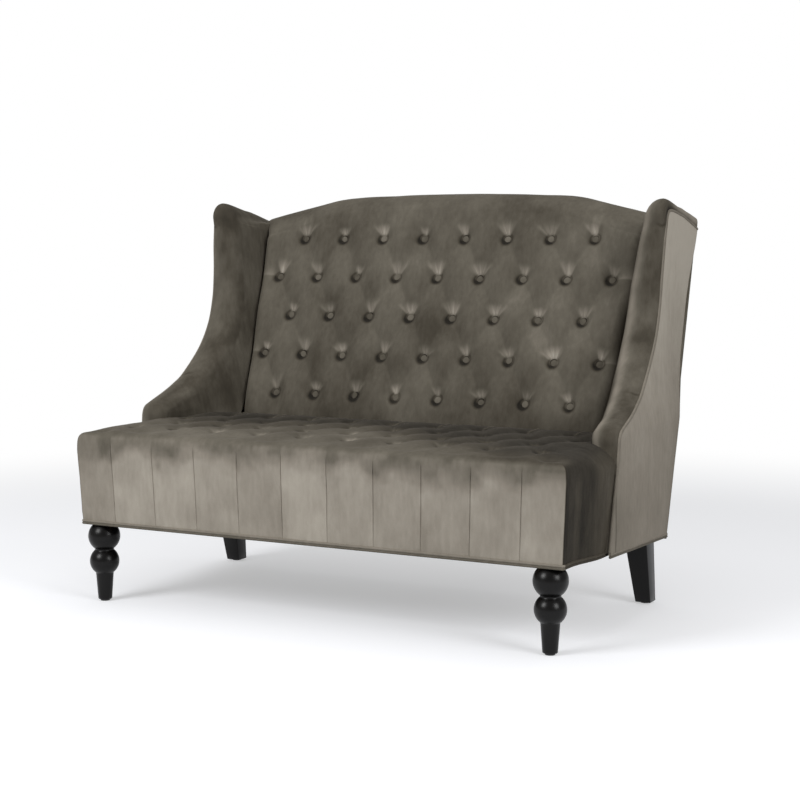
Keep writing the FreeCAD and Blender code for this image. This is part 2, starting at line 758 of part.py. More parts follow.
def dust_cover():
    """Thin black cloth stapled under the sloping rails, with its corners cut away at the legs."""
    y0, y1 = RAIL_FRONT + DUST_COVER_STEP, rear_rail_y()[1] - DUST_COVER_STEP
    upper = [(y1, rail_bottom(y1)), (y0, rail_bottom(y0))]
    outline = [(y, z - DUST_COVER_THICKNESS) for y, z in reversed(upper)] + upper
    half = FRAME_HALF - DUST_COVER_STEP
    cloth = side_plate(outline, -half, half)
    for sign in (-1, 1):
        for y in (FRONT_LEG_Y, REAR_LEG_Y):
            reach = DUST_COVER_NOTCH
            x0, x1 = sorted((sign * (FRONT_LEG_X - reach), sign * WIDTH))
            cloth = cloth.cut(box(x0, x1, y - reach, y + reach, 0, RAIL_TOP))
    return cloth


# Wings: level sections from the seat to the rounded top, as (height, front, tuck of the outer face, width)

def wing_stations():
    """The wing's shape above the arm: a scooped front edge, thinner and leaning out towards the top."""
    rise = WING_TOP - ARM_HEIGHT
    arm = [
        (SEAT_TOP + 1.0, ARM_FRONT, 0.0, ARM_WIDTH),
        (ARM_HEIGHT - 10.0, ARM_FRONT + 3.0, 0.0, ARM_WIDTH * 1.01),
        (ARM_HEIGHT + 2.0, ARM_FRONT + 14.0, 0.0, ARM_WIDTH * 1.03),
    ]
    scoop = [
        (0.02, 0.099, 1.0, 1.04),
        (0.058, 0.233, 3.0, 1.06),
        (0.095, 0.34, 6.0, 1.11),
        (0.14, 0.441, 9.0, 1.16),
        (0.262, 0.62, 14.0, 1.25),
        (0.386, 0.738, 15.0, 1.26),
        (0.515, 0.797, 15.0, 1.19),
        (0.645, 0.821, 14.0, 1.09),
        (0.775, 0.834, 11.0, 0.965),
        (0.872, 0.85, 9.0, 0.88),
        (0.938, 0.888, 8.0, 0.766),
        (0.975, 0.925, 11.0, 0.596),
        (1.0, 1.0, 22.0, 0.227),
    ]
    places = [(ARM_HEIGHT + up * rise, ARM_FRONT + back * WING_RUN) for up, back, _, _ in scoop]
    return arm + [(z, y, tuck, ARM_WIDTH * share) for (z, y), (_, _, tuck, share) in zip(places, scoop)]


def between(stations, z):
    """Station at a height between two others."""
    for low, high in zip(stations, stations[1:]):
        if low[0] <= z <= high[0]:
            t = (z - low[0]) / (high[0] - low[0])
            return (z,) + tuple(a + (b - a) * t for a, b in zip(low[1:], high[1:]))
    return stations[-1]


def level_stretch(stations, i):
    """How much longer a line is level than square across the wing's front edge at a station."""
    (z0, y0), (z1, y1) = stations[max(i - 1, 0)][:2], stations[min(i + 1, len(stations) - 1)][:2]
    return math.hypot(1, (y1 - y0) / (z1 - z0))


def wing_top_y(z, top):
    """How far back a top line that falls to the rear reaches at a height."""
    return ARM_FRONT + WING_CREST_RUN + (top - z) / WING_FALL


def rear_corner_z(top):
    """Height at which a top line that falls to the rear meets the wing's rear edge."""
    excess = wing_top_y(OUTSIDE_FOOT_Z, top) - panel_rear_y(OUTSIDE_FOOT_Z)
    return OUTSIDE_FOOT_Z + excess / (math.tan(OUT_RAKE) + 1 / WING_FALL)


def wing_outer_x(tuck):
    """Outer face of the wing's cover, just inside the outer panel."""
    return HALF_WIDTH - tuck - PANEL_THICKNESS - SEAT_GAP


def wing_section(z, front, tuck, width, rear, stretch):
    """Level section of the wing's cover: a round front band, the inner face and the outer face."""
    outer = wing_outer_x(tuck)
    inner = HALF_WIDTH - tuck - width
    meeting = plane_y(z, BACK_FOOT_FILL)
    turn = max(min(front + BAND_ROUND, rear - 6.0), front + 1.0)
    seam_y = min(meeting, rear - 3.0)
    inner_rear = inner + (back_end(z) + SEAT_GAP - inner) * (seam_y - turn) / (meeting - turn)
    brow = (outer - 0.4 * (outer - inner), front - BAND_BULGE)
    welt_reach = (WELT_DIAMETER / 2 + WELT_SEAT) * stretch
    notch = (HALF_WIDTH - tuck - WELT_DIAMETER - WELT_SEAT, front - WELT_SEAT * stretch)
    plan = [(outer, front + welt_reach)]
    plan += arc_points(brow, notch, (1, 0), ROLL_FACETS)[::-1]
    plan += arc_points(brow, (inner, turn), (-1, 0), ROLL_FACETS)[1:]
    plan += [(inner_rear, seam_y), (inner_rear, rear), (outer, rear)]
    return [vec(x, y, z) for x, y in plan]


def wing_foot(z):
    """Level section of the wing's cover beside the seat, with as many points as above the arm."""
    outer = wing_outer_x(0.0)
    rear = plane_y(z, -PAD_BACK)
    start = SEAT_EAR_END + SEAT_GAP
    inner = EAR_START + SEAT_GAP
    steps = 2 * ROLL_FACETS + 1
    front = [(outer + (inner - outer) * i / steps, start) for i in range(steps + 1)]
    inner_rear = back_end(SEAT_TOP)
    plan = front + [(inner_rear, min(SEAT_END, rear - 4.0)), (inner_rear, rear), (outer, rear)]
    return [vec(x, y, z) for x, y in plan]


def wing_core(low, clearance=0.0):
    """Side outline (y, z) of the room inside the wing's cover, or of a piece that fills it with clearance."""
    inset = PLY_INSET + clearance
    stations = [s for s in wing_stations() if ARM_HEIGHT <= s[0] < CORE_TOP]
    front = [(y + inset, z) for z, y, _, _ in stations]
    lower_front = SEAT_EAR_END + CORE_STEP + clearance
    behind = [
        (front[-1][0] + CORE_STEP, CORE_TOP - clearance),
        (behind_panel_y(POST_TOP), POST_TOP - clearance),
        (behind_panel_y(low), low),
    ]
    return [(lower_front, low), (lower_front, ARM_HEIGHT - inset)] + front + behind


def behind_panel_y(z):
    """Inner face of the outside back panel."""
    return outside_y(z) - PANEL_THICKNESS / math.cos(OUT_RAKE) - SEAT_GAP


def wing_frame():
    """Plywood wing panel, from the side rail to just under the wing's top."""
    outline = wing_core(rail_bottom(ARM_FRONT), SEAT_GAP)
    return side_plate(outline, FRAME_HALF, FRAME_HALF + PLY_THICKNESS)


def wing_padding():
    """Foam on the inner face of the plywood, in front of the back upright."""
    outline = wing_core(DECK_TOP, SEAT_GAP)
    pad = side_plate(outline, WING_CORE_X + SEAT_GAP, FRAME_HALF)
    return pad.cut(behind_pads())


def behind_pads():
    """The room behind the plane of the back foam, up to the top of the uprights."""
    reach = 400.0
    top = POST_TOP + 1.0
    points = [back_point(*level_end(0, -PAD_BACK)), back_point(*level_end(top, -PAD_BACK))]
    points += [(points[1][0] + reach, top), (points[0][0] + reach, 0)]
    return side_plate(points, 0, WIDTH)


def wing_cover():
    """Velvet and wadding of the right wing: inner face, front band and top, hollow for the plywood."""
    lower = [wing_foot(DECK_TOP), wing_foot(SEAT_TOP + 0.5)]
    stations = wing_stations()
    stations = sorted(stations + [between(stations, rear_corner_z(WING_TOP))])
    upper = []
    for i, station in enumerate(stations):
        rear = min(panel_rear_y(station[0]), wing_top_y(station[0], WING_TOP))
        upper.append(wing_section(*station, rear, level_stretch(stations, i)))
    cover = lofted(lower + upper).cut(behind_pads())
    core = side_plate(wing_core(DECK_TOP - 1.0), WING_CORE_X, HALF_WIDTH)
    return cover.cut(core)


def outer_stations():
    """(height, front, tuck) of the outer panel's front edge, from the hem to its top seam."""
    low = [(FRONT_HEM, ARM_FRONT - 50.0, 0.0), (0.5 * (FRONT_HEM + SEAT_TOP), ARM_FRONT - 22.0, 0.0)]
    above = [station[:3] for station in wing_stations()]
    heights = [z for z, _, _ in above if z < PANEL_TOP] + [rear_corner_z(PANEL_TOP), PANEL_TOP]
    return low + [between(above, z) for z in sorted(heights)]


def outer_panel():
    """Right outer panel: flat velvet over board, from the hem to the seam under the wing's top."""
    sections = []
    stations = outer_stations()
    for i, (z, front, tuck) in enumerate(stations):
        outer = HALF_WIDTH - tuck
        inner = outer - PANEL_THICKNESS
        y0 = front + (WELT_DIAMETER / 2 + WELT_SEAT) * level_stretch(stations, i)
        y1 = max(min(panel_rear_y(z), wing_top_y(z, PANEL_TOP)), y0 + WELT_DIAMETER)
        z0, z1 = (hem_height(y0), hem_height(y1)) if i == 0 else (z, z)
        sections.append([vec(inner, y0, z0), vec(outer, y0, z0), vec(outer, y1, z1), vec(inner, y1, z1)])
    return lofted(sections)


def welt(path, across):
    """Piped cord along a path: four-sided, with one corner towards the side named and one square to it."""
    radius = WELT_DIAMETER / 2
    sections = []
    for i, point in enumerate(path):
        before, after = path[max(i - 1, 0)], path[min(i + 1, len(path) - 1)]
        along = (after - before).normalize()
        second = along.cross(across).normalize() * radius
        first = second.cross(along).normalize() * radius
        sections.append([point + first, point + second, point - first, point - second])
    return lofted(sections)


def wing_welt():
    """Piping up the front edge of the outer panel, from the hem to the top seam."""
    radius = WELT_DIAMETER / 2
    path = [vec(HALF_WIDTH - tuck - radius, front, z) for z, front, tuck in outer_stations()]
    return welt(path, vec(1, 0, 0))


def side_hem_welt():
    """Piping under the outer panel's bottom edge."""
    radius = WELT_DIAMETER / 2
    ends = (outer_stations()[0][1] + radius, panel_rear_y(OUTSIDE_FOOT_Z))
    path = [vec(HALF_WIDTH - radius, y, hem_height(y) - radius) for y in ends]
    return welt(path, vec(0, 0, 1))


def rear_hem_welt():
    half = HALF_WIDTH - WELT_DIAMETER
    y = outside_y(REAR_HEM) - WELT_DIAMETER / 2
    z = REAR_HEM - WELT_DIAMETER / 2
    return welt([vec(-half, y, z), vec(half, y, z)], vec(0, 0, 1))


def seat_welt():
    """Piping along the bottom of the seat, round both front corners to the wings."""
    radius = WELT_DIAMETER / 2
    front = FRONT_Y + SEAT_HEM_INSET + radius
    side = SEAT_HALF - SEAT_HEM_INSET * EAR_SIDE_SHARE - radius
    z = FRONT_HEM - radius
    bend = SEAT_SIDE_ROUND - radius
    half_turn = bend * (1 - math.sqrt(0.5))
    corner = [(side, front + bend), (side - half_turn, front + half_turn), (side - bend, front)]
    right = [(side, SEAT_EAR_END)] + corner
    path = [vec(x, y, z) for x, y in right] + [vec(-x, y, z) for x, y in reversed(right)]
    return welt(path, vec(0, 0, 1))


def outside_back():
    """Plain outside back panel, up to the seam under the roll of the crest and under the wings' tops."""
    top = POST_TOP + 1.0
    side = [(wing_outer_x(tuck), z) for z, _, tuck in outer_stations() if z < top]
    side[0] = (side[0][0], REAR_HEM)
    drop = CREST_TAIL + SEAT_GAP + PANEL_THICKNESS * math.sin(OUT_RAKE)
    crest = [(x, crest_height(x) - drop) for x in (BACK_EDGE, CREST_KNEE, CREST_KNEE / 2, 0)]
    end = (back_end(top), min(crest_height(BACK_END_LOW) - drop, top))
    half = side + [(side[-1][0], top), (end[0], top), end] + crest
    other = [(-x, z) for x, z in reversed(half[:-1])]
    face = Part.Face(ring([vec(x, outside_y(z), z) for x, z in half + other]))
    inward = vec(0, -math.cos(OUT_RAKE), math.sin(OUT_RAKE))
    return face.extrude(inward * PANEL_THICKNESS)


# Legs

def bulb_reach(bulb, neck):
    """Half height of a ball-shaped bulb down to the diameter of its neck."""
    return math.sqrt(bulb ** 2 - neck ** 2) / 2


def front_leg():
    """Turned leg: a narrow head under the rail, two ball-shaped bulbs and a tapered shank."""
    foot = GLIDE_THICKNESS
    flat = UPPER_BULB - BULB_TRIM
    top = rail_bottom(FRONT_LEG_Y + LEG_HEAD / 2)
    upper_top = FRONT_HEM - WELT_DIAMETER - LEG_UNDER_WELT
    upper = upper_top - bulb_reach(UPPER_BULB, flat)
    upper_low = upper - bulb_reach(UPPER_BULB, UPPER_NECK)
    lower_top = upper_low - NECK_LENGTH
    lower = lower_top - bulb_reach(LOWER_BULB, UPPER_NECK)
    lower_low = lower - bulb_reach(LOWER_BULB, SHANK_TOP)

    def spot(diameter, z):
        return vec(diameter / 2, 0, z)

    ankle, nape, neck = spot(SHANK_TOP, lower_low), spot(UPPER_NECK, lower_top), spot(UPPER_NECK, upper_low)
    lines = [spot(flat, upper_top), spot(LEG_HEAD, upper_top), spot(LEG_HEAD, top)]
    lines += [spot(0, top), spot(0, foot)]
    lines += [spot(FRONT_FOOT - 2 * FOOT_ROUND, foot), spot(FRONT_FOOT, foot + FOOT_ROUND), ankle]
    edges = [Part.makeLine(a, b) for a, b in zip(lines, lines[1:])]
    edges.append(Part.Arc(ankle, spot(LOWER_BULB, lower), nape).toShape())
    edges.append(Part.makeLine(nape, neck))
    edges.append(Part.Arc(neck, spot(UPPER_BULB, upper), lines[0]).toShape())
    turned = Part.Face(Part.Wire(edges)).revolve(vec(0, 0, 0), vec(0, 0, 1), 360)
    return turned.translated(vec(FRONT_LEG_X, FRONT_LEG_Y, 0)).cut(bolt_hole(FRONT_LEG_X, FRONT_LEG_Y))


def square_ring(x, y, z_of, width):
    half = width / 2
    corners = [(x - half, y - half), (x + half, y - half), (x + half, y + half), (x - half, y + half)]
    return [vec(px, py, z_of(py)) for px, py in corners]


def rear_leg():
    """Square tapered leg, splayed to the rear, with its top cut to the frame's slope."""
    top = square_ring(REAR_LEG_X, REAR_LEG_Y, rail_bottom, REAR_LEG_TOP)
    foot = square_ring(*rear_foot(), lambda y: GLIDE_THICKNESS, REAR_LEG_FOOT)
    return lofted([foot, top]).cut(bolt_hole(REAR_LEG_X, rear_bolt_y()))


def rear_foot():
    return REAR_LEG_X + REAR_LEG_SPLAY_X, REAR_LEG_Y + REAR_LEG_SPLAY_Y


def rear_bolt_y():
    return sum(rear_rail_y()) / 2


def bolt_span(y):
    """Bottom and top of a leg bolt, from inside the leg to inside the rail over it."""
    return rail_bottom(y) - BOLT_IN_LEG, rail_bottom(y) + BOLT_IN_RAIL


def bolt_hole(x, y):
    low, high = bolt_span(y)
    return Part.makeCylinder(BOLT_DIAMETER / 2 + BOLT_CLEARANCE, high - low, vec(x, y, low))


def leg_bolts():
    bolts = []
    for x, y in bolt_places():
        low, high = bolt_span(y)
        bolts.append(Part.makeCylinder(BOLT_DIAMETER / 2, high - low, vec(x, y, low)))
    return bolts


def bolt_places():
    places = ((FRONT_LEG_X, FRONT_LEG_Y), (REAR_LEG_X, rear_bolt_y()))
    return [(sign * x, y) for x, y in places for sign in (-1, 1)]


def glide(x, y):
    return Part.makeCylinder(GLIDE_DIAMETER / 2, GLIDE_THICKNESS, vec(x, y, 0))


def save_pair(name, shape):
    """A piece of the right side, as seen from the front, and its mirror image on the left."""
    save("right_" + name, shape)
    save("left_" + name, mirrored(shape))


def main():
    os.makedirs("parts", exist_ok=True)
    save("front_seat_rail", front_seat_rail())
    save("rear_seat_rail", rear_seat_rail())
    save_pair("seat_rail", side_seat_rail())
    save("seat_cross_rails", *seat_cross_rails())
    blocks = [corner_block(RAIL_FRONT + RAIL_THICKNESS, 1), corner_block(rear_rail_y()[0], -1)]
    save("corner_blocks", *blocks, *[mirrored(block) for block in blocks])
    save_pair("back_post", back_post())
    save("back_lower_rail", back_lower_rail())
    save("back_top_rail", back_top_rail())
    save("back_centre_stile", back_centre_stile())
    save("back_webbing", *back_webbing())
    save("back_foam", back_foam())
    save("back_cover", back_cover())
    save("back_buttons", *back_buttons())
    save("outside_back", outside_back())
    save("rear_hem_welt", rear_hem_welt())
    save("seat_webbing_long", *seat_webbing_long())
    save("seat_webbing_cross", *seat_webbing_cross())
    save("seat_deck_cloth", seat_deck_cloth())
    save("dust_cover", dust_cover())
    save("seat_foam", seat_foam())
    save("seat_cover", seat_cover())
    save_pair("seat_side_cover", seat_side_cover())
    save("seat_buttons", *seat_buttons())
    save("seat_welt", seat_welt())
    save_pair("wing_frame", wing_frame())
    save_pair("wing_padding", wing_padding())
    save_pair("wing_cover", wing_cover())
    save_pair("outer_panel", outer_panel())
    save_pair("wing_welt", wing_welt())
    save_pair("side_hem_welt", side_hem_welt())
    save_pair("front_leg", front_leg())
    save_pair("rear_leg", rear_leg())
    save("leg_bolts", *leg_bolts())
    glides = [glide(FRONT_LEG_X, FRONT_LEG_Y), glide(*rear_foot())]
    save("leg_glides", *glides, *[mirrored(piece) for piece in glides])


main()
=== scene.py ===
"""Looks of the tufted wing-back loveseat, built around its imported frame.

X is to the right as seen from the front, the front is towards -Y, and the floor is at Z = 0.
Sizes are in millimetres, and a mesh is turned into metres when it is made.
"""

from math import acos, asin, cos, pi, radians, sin, sqrt, tan

import bmesh
import bpy
import numpy as np
from mathutils import Matrix, Vector

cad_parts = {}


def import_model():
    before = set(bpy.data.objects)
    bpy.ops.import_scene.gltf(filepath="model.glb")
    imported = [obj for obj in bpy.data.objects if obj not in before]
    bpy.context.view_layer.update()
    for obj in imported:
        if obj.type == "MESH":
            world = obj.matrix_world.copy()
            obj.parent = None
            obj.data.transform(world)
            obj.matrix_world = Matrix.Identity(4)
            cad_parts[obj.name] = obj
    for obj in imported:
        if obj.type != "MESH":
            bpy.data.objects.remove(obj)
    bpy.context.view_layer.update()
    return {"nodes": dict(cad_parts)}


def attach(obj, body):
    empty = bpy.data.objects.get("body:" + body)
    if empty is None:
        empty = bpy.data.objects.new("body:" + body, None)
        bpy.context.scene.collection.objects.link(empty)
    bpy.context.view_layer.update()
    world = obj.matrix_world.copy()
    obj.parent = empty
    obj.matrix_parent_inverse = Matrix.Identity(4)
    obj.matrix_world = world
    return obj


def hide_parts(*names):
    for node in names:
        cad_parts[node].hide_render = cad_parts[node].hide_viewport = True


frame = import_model()
scene = bpy.context.scene
MM = 0.001

# Overall sizes
WIDTH = 1276.0
DEPTH = 863.6
HEIGHT = 978.0
FRONT_Y = -DEPTH / 2

# Seat
SEAT_TOP = 410.0
SEAT_PIT_Z = 402.0
SEAT_CROWN = 20.0
SEAT_FOLD = 14.0
SEAT_PIT = 10.0
SEAT_END = 84.0
SEAT_REAR_ROLL = 16.0
SEAT_CORE_HALF = 570.0
SEAT_EAR_END = -122.0
SEAT_NARROW_START = -160.0
SEAT_EDGE_Y = FRONT_Y + 40.0
SEAT_BROW_Z = 366.0
SEAT_BROW_HALF = 625.5
SEAT_BROW_Y = FRONT_Y + 5.0
SEAT_FOOT_HALF = 616.5
SEAT_FOOT_Y = FRONT_Y + 12.0
FRONT_HEM = 187.0
REAR_HEM = 168.0
CORNER_ROUND = 0.11
EDGE_SQUARE = 4.2
SQUARE_END_Y = -250.0
SEAT_EDGE_FALL = 26.0
SEAT_EDGE_ROUND = 14.0
SEAT_COLUMNS = 356
PLEAT_STEPS = (0, 0.5, 1.2, 2, 3.2, 5, 7.5)
COVER_THICKNESS = 4.0
END_FLARE = 6.0
END_DROP = 8.0

# Back
BACK_RAKE = radians(21.7)
BACK_FOOT_Y = 129.5
BACK_FOOT_Z = 464.4
BACK_BELOW = 70.0
BACK_CROWN = 24.0
BACK_FOLD = 16.0
BACK_PIT = 12.5
BACK_TOP_FILL = 19.0
BACK_FOOT_FILL = 13.0
BACK_PAD = 46.0
BACK_END_LOW = 503.6
BACK_END_LEAN = 0.077
BACK_END_ROUND = 26.0
BACK_END_TUCK = 7.0
OUTSIDE_SLOPE = tan(radians(16.4))
OUTSIDE_FOOT_Y = 188.0
OUTSIDE_FOOT_Z = 175.0
CREST_SAG = 0.00007
CREST_KNEE = 330.0
CREST_KNEE_ROUND = 22.0
CREST_SLOPE = 0.235
CREST_FLARE = 0.055
CREST_ROLL = 44.0
CREST_TAIL = 52.0
CREST_END_ROUND = 16.0
CREST_STEPS = 26
CREST_PULL = 25.0
CREST_DOWN = (-0.12, -1)
POST_TOP = 879.0

# Tufting
HALF_PITCH = 116.9 / 2
BACK_ROW_PITCH = 106.2
SEAT_ROW_PITCH = 105.0
SEAT_FIRST_ROW = -330.0
BUTTON_RADIUS = 12.6
BUTTON_HEIGHT = 7.4
BUTTON_EDGE = 1.6
BUTTON_RING = 13.5
FOLD_ARCH = 0.1
FOLD_SOFTNESS = 0.02
FOLD_WIDTH = 0.06
TUFT_REACH = 130.0
PIT_REACH = 13.0
FAN_REACH = 46.0
SHADE_TURN = 2.75
SHADE_REACH = 19.0

# Wings
ARM_FRONT = -150.0
ARM_WIDTH = 70.5
PANEL_REAR_STEP = 8.0
SEAM_STEP = 3.8
FLANGE = 26.0
BAND_TURN = radians(64)
WING_PULL = 0.36
PANEL_THICKNESS = 4.5
PANEL_CORNER_Y = 385.0
WELT_RADIUS = 3.6
HEM_RADIUS = 3.1
HEM_STEP = 5.6
SEAT_HEM_RISE = 7.6
SIDE_HEM_RISE = 3.0
CORD_ACROSS = (0.31, 0.17, 0.93)

# Legs
FRONT_LEG = (577.0, -390.0)
LEG_CAP = (22.0, 186.0)
LEG_SPIGOT = 14.0
UPPER_BULB = 38.0
UPPER_BULB_Z = 156.5
LOWER_BULB = 35.0
LEG_NECK = (23.5, 5.0)
LEG_SHANK = 21.5
LEG_FOOT = 16.5
REAR_LEG_TOP = (575.0, 149.0)
REAR_LEG_FOOT = (580.0, 189.0)
REAR_LEG_WIDTHS = (38.0, 56.0)
LEG_EASE = 1.8
LEG_CRISP = radians(40)
LEG_INSIDE = 5.0
GLIDE_TOP = 3.0

# Meshes
FINE = 2.4
NOISE_CELLS = 64
SPLINE_STEPS = 24
SEAM_MERGE = 0.05

# Looks, in colours from 0 to 255
EVEN = (1, 1, 1)
VELVET_STOPS = [(0, (31, 28, 23)), (0.25, (69, 64, 55)), (0.45, (98, 93, 83)), (0.7, (135, 128, 117)),
                (1, (174, 167, 155))]
VELVET_SHEEN = (190, 182, 170)

# Floor, light and camera, in metres except for the floor's own sizes
FLOOR_REACH = 40000.0
FLOOR_Z = -0.5
FLOOR_COLOUR = (0.62, 0.63, 0.66, 1)
FLOOR_GLOW = 0.42
FLOOR_FADE = (1.5, 3.2)
WORLD_LIGHT = 0.35
SOFTBOXES = [
    ("key", (-1.6, -3.4, 2.6), (0, 0, 0.5), 105, 1.6, 1.6),
    ("right", (3.4, -1.4, 1.9), (0.3, 0, 0.4), 60, 1.4, 1.6),
    ("top", (0, 0.3, 3.2), (0, 0, 0.4), 22, 2.6, 2),
]
CAMERA_LENS = 76.36
CAMERA_SENSOR = 36.0
CAMERA_SHIFT = (0.0015, 0.0018)
CAMERA_SPOT = (1.918, -3.612, 0.865)
CAMERA_AIM = (0.014, 0.001, 0.472)


# Numbers and fields

def smooth(a, b, x):
    """0 at a and before, 1 at b and after, and a smooth rise between them."""
    t = np.clip((x - a) / (b - a), 0, 1)
    return t * t * (3 - 2 * t)


def bell(offset, width, power=2):
    """1 where the offset is 0, falling off smoothly on both sides."""
    return np.exp(-(offset / width) ** power)


def edge_drop(inward, radius):
    """Drop of a quarter-round edge, from 1 at the edge to 0 at its radius inward and beyond."""
    return 1 - np.sqrt(1 - (1 - np.clip(inward, 0, radius) / radius) ** 2)


def mix(a, b, share):
    """a where the share is 0 and b where it is 1."""
    return a * (1 - share) + b * share


def wrapped(angle):
    """The angle between -pi and pi."""
    return (angle + pi) % (2 * pi) - pi


def points(*coordinates):
    """Points from a number or a field for each coordinate."""
    return np.stack(np.broadcast_arrays(*coordinates), axis=-1)


def unit(vectors):
    return vectors / np.linalg.norm(vectors, axis=-1, keepdims=True)


def bezier(start, first, second, end, s):
    """Points of a cubic curve at shares s of its run."""
    return (1 - s) ** 3 * start + 3 * s * (1 - s) ** 2 * first + 3 * s ** 2 * (1 - s) * second + s ** 3 * end


def noise(x, y, seed):
    """Smooth noise between -1 and 1 over two fields of coordinates, with cells of size 1."""
    table = np.random.default_rng(seed).uniform(-1, 1, (NOISE_CELLS, NOISE_CELLS))
    i, j = np.floor(x).astype(int), np.floor(y).astype(int)
    u, v = smooth(0, 1, x - i), smooth(0, 1, y - j)

    def at(a, b):
        return table[a % NOISE_CELLS, b % NOISE_CELLS]

    return mix(mix(at(i, j), at(i + 1, j), u), mix(at(i, j + 1), at(i + 1, j + 1), u), v)


def cloudy(x, y, size, seed, octaves=3):
    """Several sizes of noise laid over each other."""
    total, share = 0, 1
    for octave in range(octaves):
        total = total + share * noise(x / size, y / size, seed + octave)
        size, share = size * 0.5, share * 0.5
    return total


def spline(rows, count):
    """Points on a smooth curve through a table's rows, evenly spaced by its first two columns."""
    rows = np.array(rows, float)
    padded = np.vstack([2 * rows[0] - rows[1], rows, 2 * rows[-1] - rows[-2]])
    fine = []
    for a, b, c, d in zip(padded, padded[1:], padded[2:], padded[3:]):
        for t in np.linspace(0, 1, SPLINE_STEPS, endpoint=False):
            fine.append(0.5 * (2 * b + (c - a) * t + (2 * a - 5 * b + 4 * c - d) * t ** 2
                               + (3 * b - a - 3 * c + d) * t ** 3))
    fine = np.array([*fine, rows[-1]])
    length = np.append(0, np.cumsum(np.hypot(*np.diff(fine[:, :2], axis=0).T)))
    wanted = np.linspace(0, length[-1], count)
    return np.stack([np.interp(wanted, length, column) for column in fine.T], axis=1)


# Meshes

def new_object(name, verts, faces, nap_and_painted_light=None, finish=None):
    """Object in metres from vertices in millimetres, smooth, with the tone of the pile and the painted light
    and shade at each vertex.

    The finish is a material and the name of its slot; the name of the slot is not used.
    """
    mesh = bpy.data.meshes.new(name)
    mesh.from_pydata((np.asarray(verts, float) * MM).tolist(), [], faces)
    mesh.polygons.foreach_set("use_smooth", [True] * len(mesh.polygons))
    if nap_and_painted_light is not None:
        layer = mesh.attributes.new("nap_and_painted_light", "FLOAT", "POINT")
        layer.data.foreach_set("value", np.clip(nap_and_painted_light, 0, 1).astype(np.float32))
    mesh.validate()
    mesh.update()
    obj = bpy.data.objects.new(name, mesh)
    scene.collection.objects.link(obj)
    if finish is not None:
        material, slot = finish
        mesh.materials.append(material)
    return obj


def outward(obj, merge=0.0):
    """Turns a mesh's faces to point out of it, after joining the points that lie within a distance."""
    bm = bmesh.new()
    bm.from_mesh(obj.data)
    if merge:
        bmesh.ops.remove_doubles(bm, verts=bm.verts, dist=merge)
    bmesh.ops.recalc_face_normals(bm, faces=bm.faces)
    bm.to_mesh(obj.data)
    bm.free()
    return obj


def numbered(grid, first=0):
    """Vertex numbers of a grid of points."""
    return first + np.arange(grid[..., 0].size).reshape(grid.shape[:2])


def grid_faces(index, closed=False):
    """Four-cornered faces over a grid of vertex numbers, which can close on itself along its second side."""
    after = np.roll(index, -1, axis=1) if closed else index[:, 1:]
    here = index if closed else index[:, :-1]
    quads = np.stack([here[:-1], here[1:], after[1:], after[:-1]], axis=-1)
    return quads.reshape(-1, 4).tolist()


def closed_mesh(rings, hubs=None):
    """Vertices and faces through rings of as many points each, with both ends filled towards a hub."""
    index = numbered(rings)
    faces = grid_faces(index, closed=True)
    for ring, hub in ((index[0], index.size), (index[-1], index.size + 1)):
        faces += [[int(ring[i - 1]), int(ring[i]), hub] for i in range(len(ring))]
    return np.vstack([rings.reshape(-1, 3), rings[[0, -1]].mean(axis=1) if hubs is None else hubs]), faces


def ringed(name, rings, nap_and_painted_light, finish, hubs=None):
    """Closed form through rings, with the tone of the pile and the painted light and shade at each of their
    points.
    """
    shade = np.append(np.broadcast_to(nap_and_painted_light, rings.shape[:2]), [0.5, 0.5])
    return outward(new_object(name, *closed_mesh(rings, hubs), shade, finish))


def tube(name, path, radius, nap_and_painted_light, around=10):
    """Round cord of piping along a path."""
    along = unit(np.gradient(path, axis=0))
    side = unit(np.cross(along, CORD_ACROSS))
    up = np.cross(side, along)
    angles = (np.arange(around) * 2 * pi / around)[:, None]
    rings = path[:, None] + radius * (np.cos(angles) * side[:, None] + np.sin(angles) * up[:, None])
    return ringed(name, rings, nap_and_painted_light, VELVET_EDGE)


def lathe(profile, around, centre=(0, 0)):
    """Turned form from (radius, height) points, first and last on the axis, as vertices and faces."""
    angles = np.arange(around) * 2 * pi / around
    radius, z = np.array(profile).T[:, :, None]
    rings = points(centre[0] + radius * np.cos(angles), centre[1] + radius * np.sin(angles), z)
    return closed_mesh(rings[1:-1], rings[[0, -1], 0])


def mirrored(obj, name):
    """Copy of a piece on the other side, with its own mesh."""
    copy = obj.copy()
    copy.data = obj.data.copy()
    copy.name = copy.data.name = name
    copy.data.transform(Matrix.Diagonal((-1, 1, 1, 1)))
    copy.data.flip_normals()
    scene.collection.objects.link(copy)
    return copy


# Shared lines of the object

def back_point(v, w):
    """(y, z) at v up the back's slope and w out of the plane of its buttons."""
    y = BACK_FOOT_Y + v * sin(BACK_RAKE) - w * cos(BACK_RAKE)
    return y, BACK_FOOT_Z + v * cos(BACK_RAKE) + w * sin(BACK_RAKE)


def slope_at(z, w):
    return (z - BACK_FOOT_Z - w * sin(BACK_RAKE)) / cos(BACK_RAKE)


def plane_y(z, w):
    return back_point(slope_at(z, w), w)[0]


def outside_y(z):
    return OUTSIDE_FOOT_Y + (z - OUTSIDE_FOOT_Z) * OUTSIDE_SLOPE


def back_end(z):
    """Half width of the inside back at a height."""
    return BACK_END_LOW + BACK_END_LEAN * (z - BACK_FOOT_Z)


def crest_height(x):
    """Camel-back top line with rounded knees."""
    inner = np.minimum(np.abs(x), CREST_KNEE)
    past = np.abs(x) - CREST_KNEE
    outer = 0.5 * (past + np.sqrt(past ** 2 + CREST_KNEE_ROUND ** 2))
    return HEIGHT - CREST_SAG * inner ** 2 - CREST_SLOPE * outer


def hem_height(y):
    return FRONT_HEM + (REAR_HEM - FRONT_HEM) * (y - FRONT_Y) / (OUTSIDE_FOOT_Y - FRONT_Y)


# Tufting

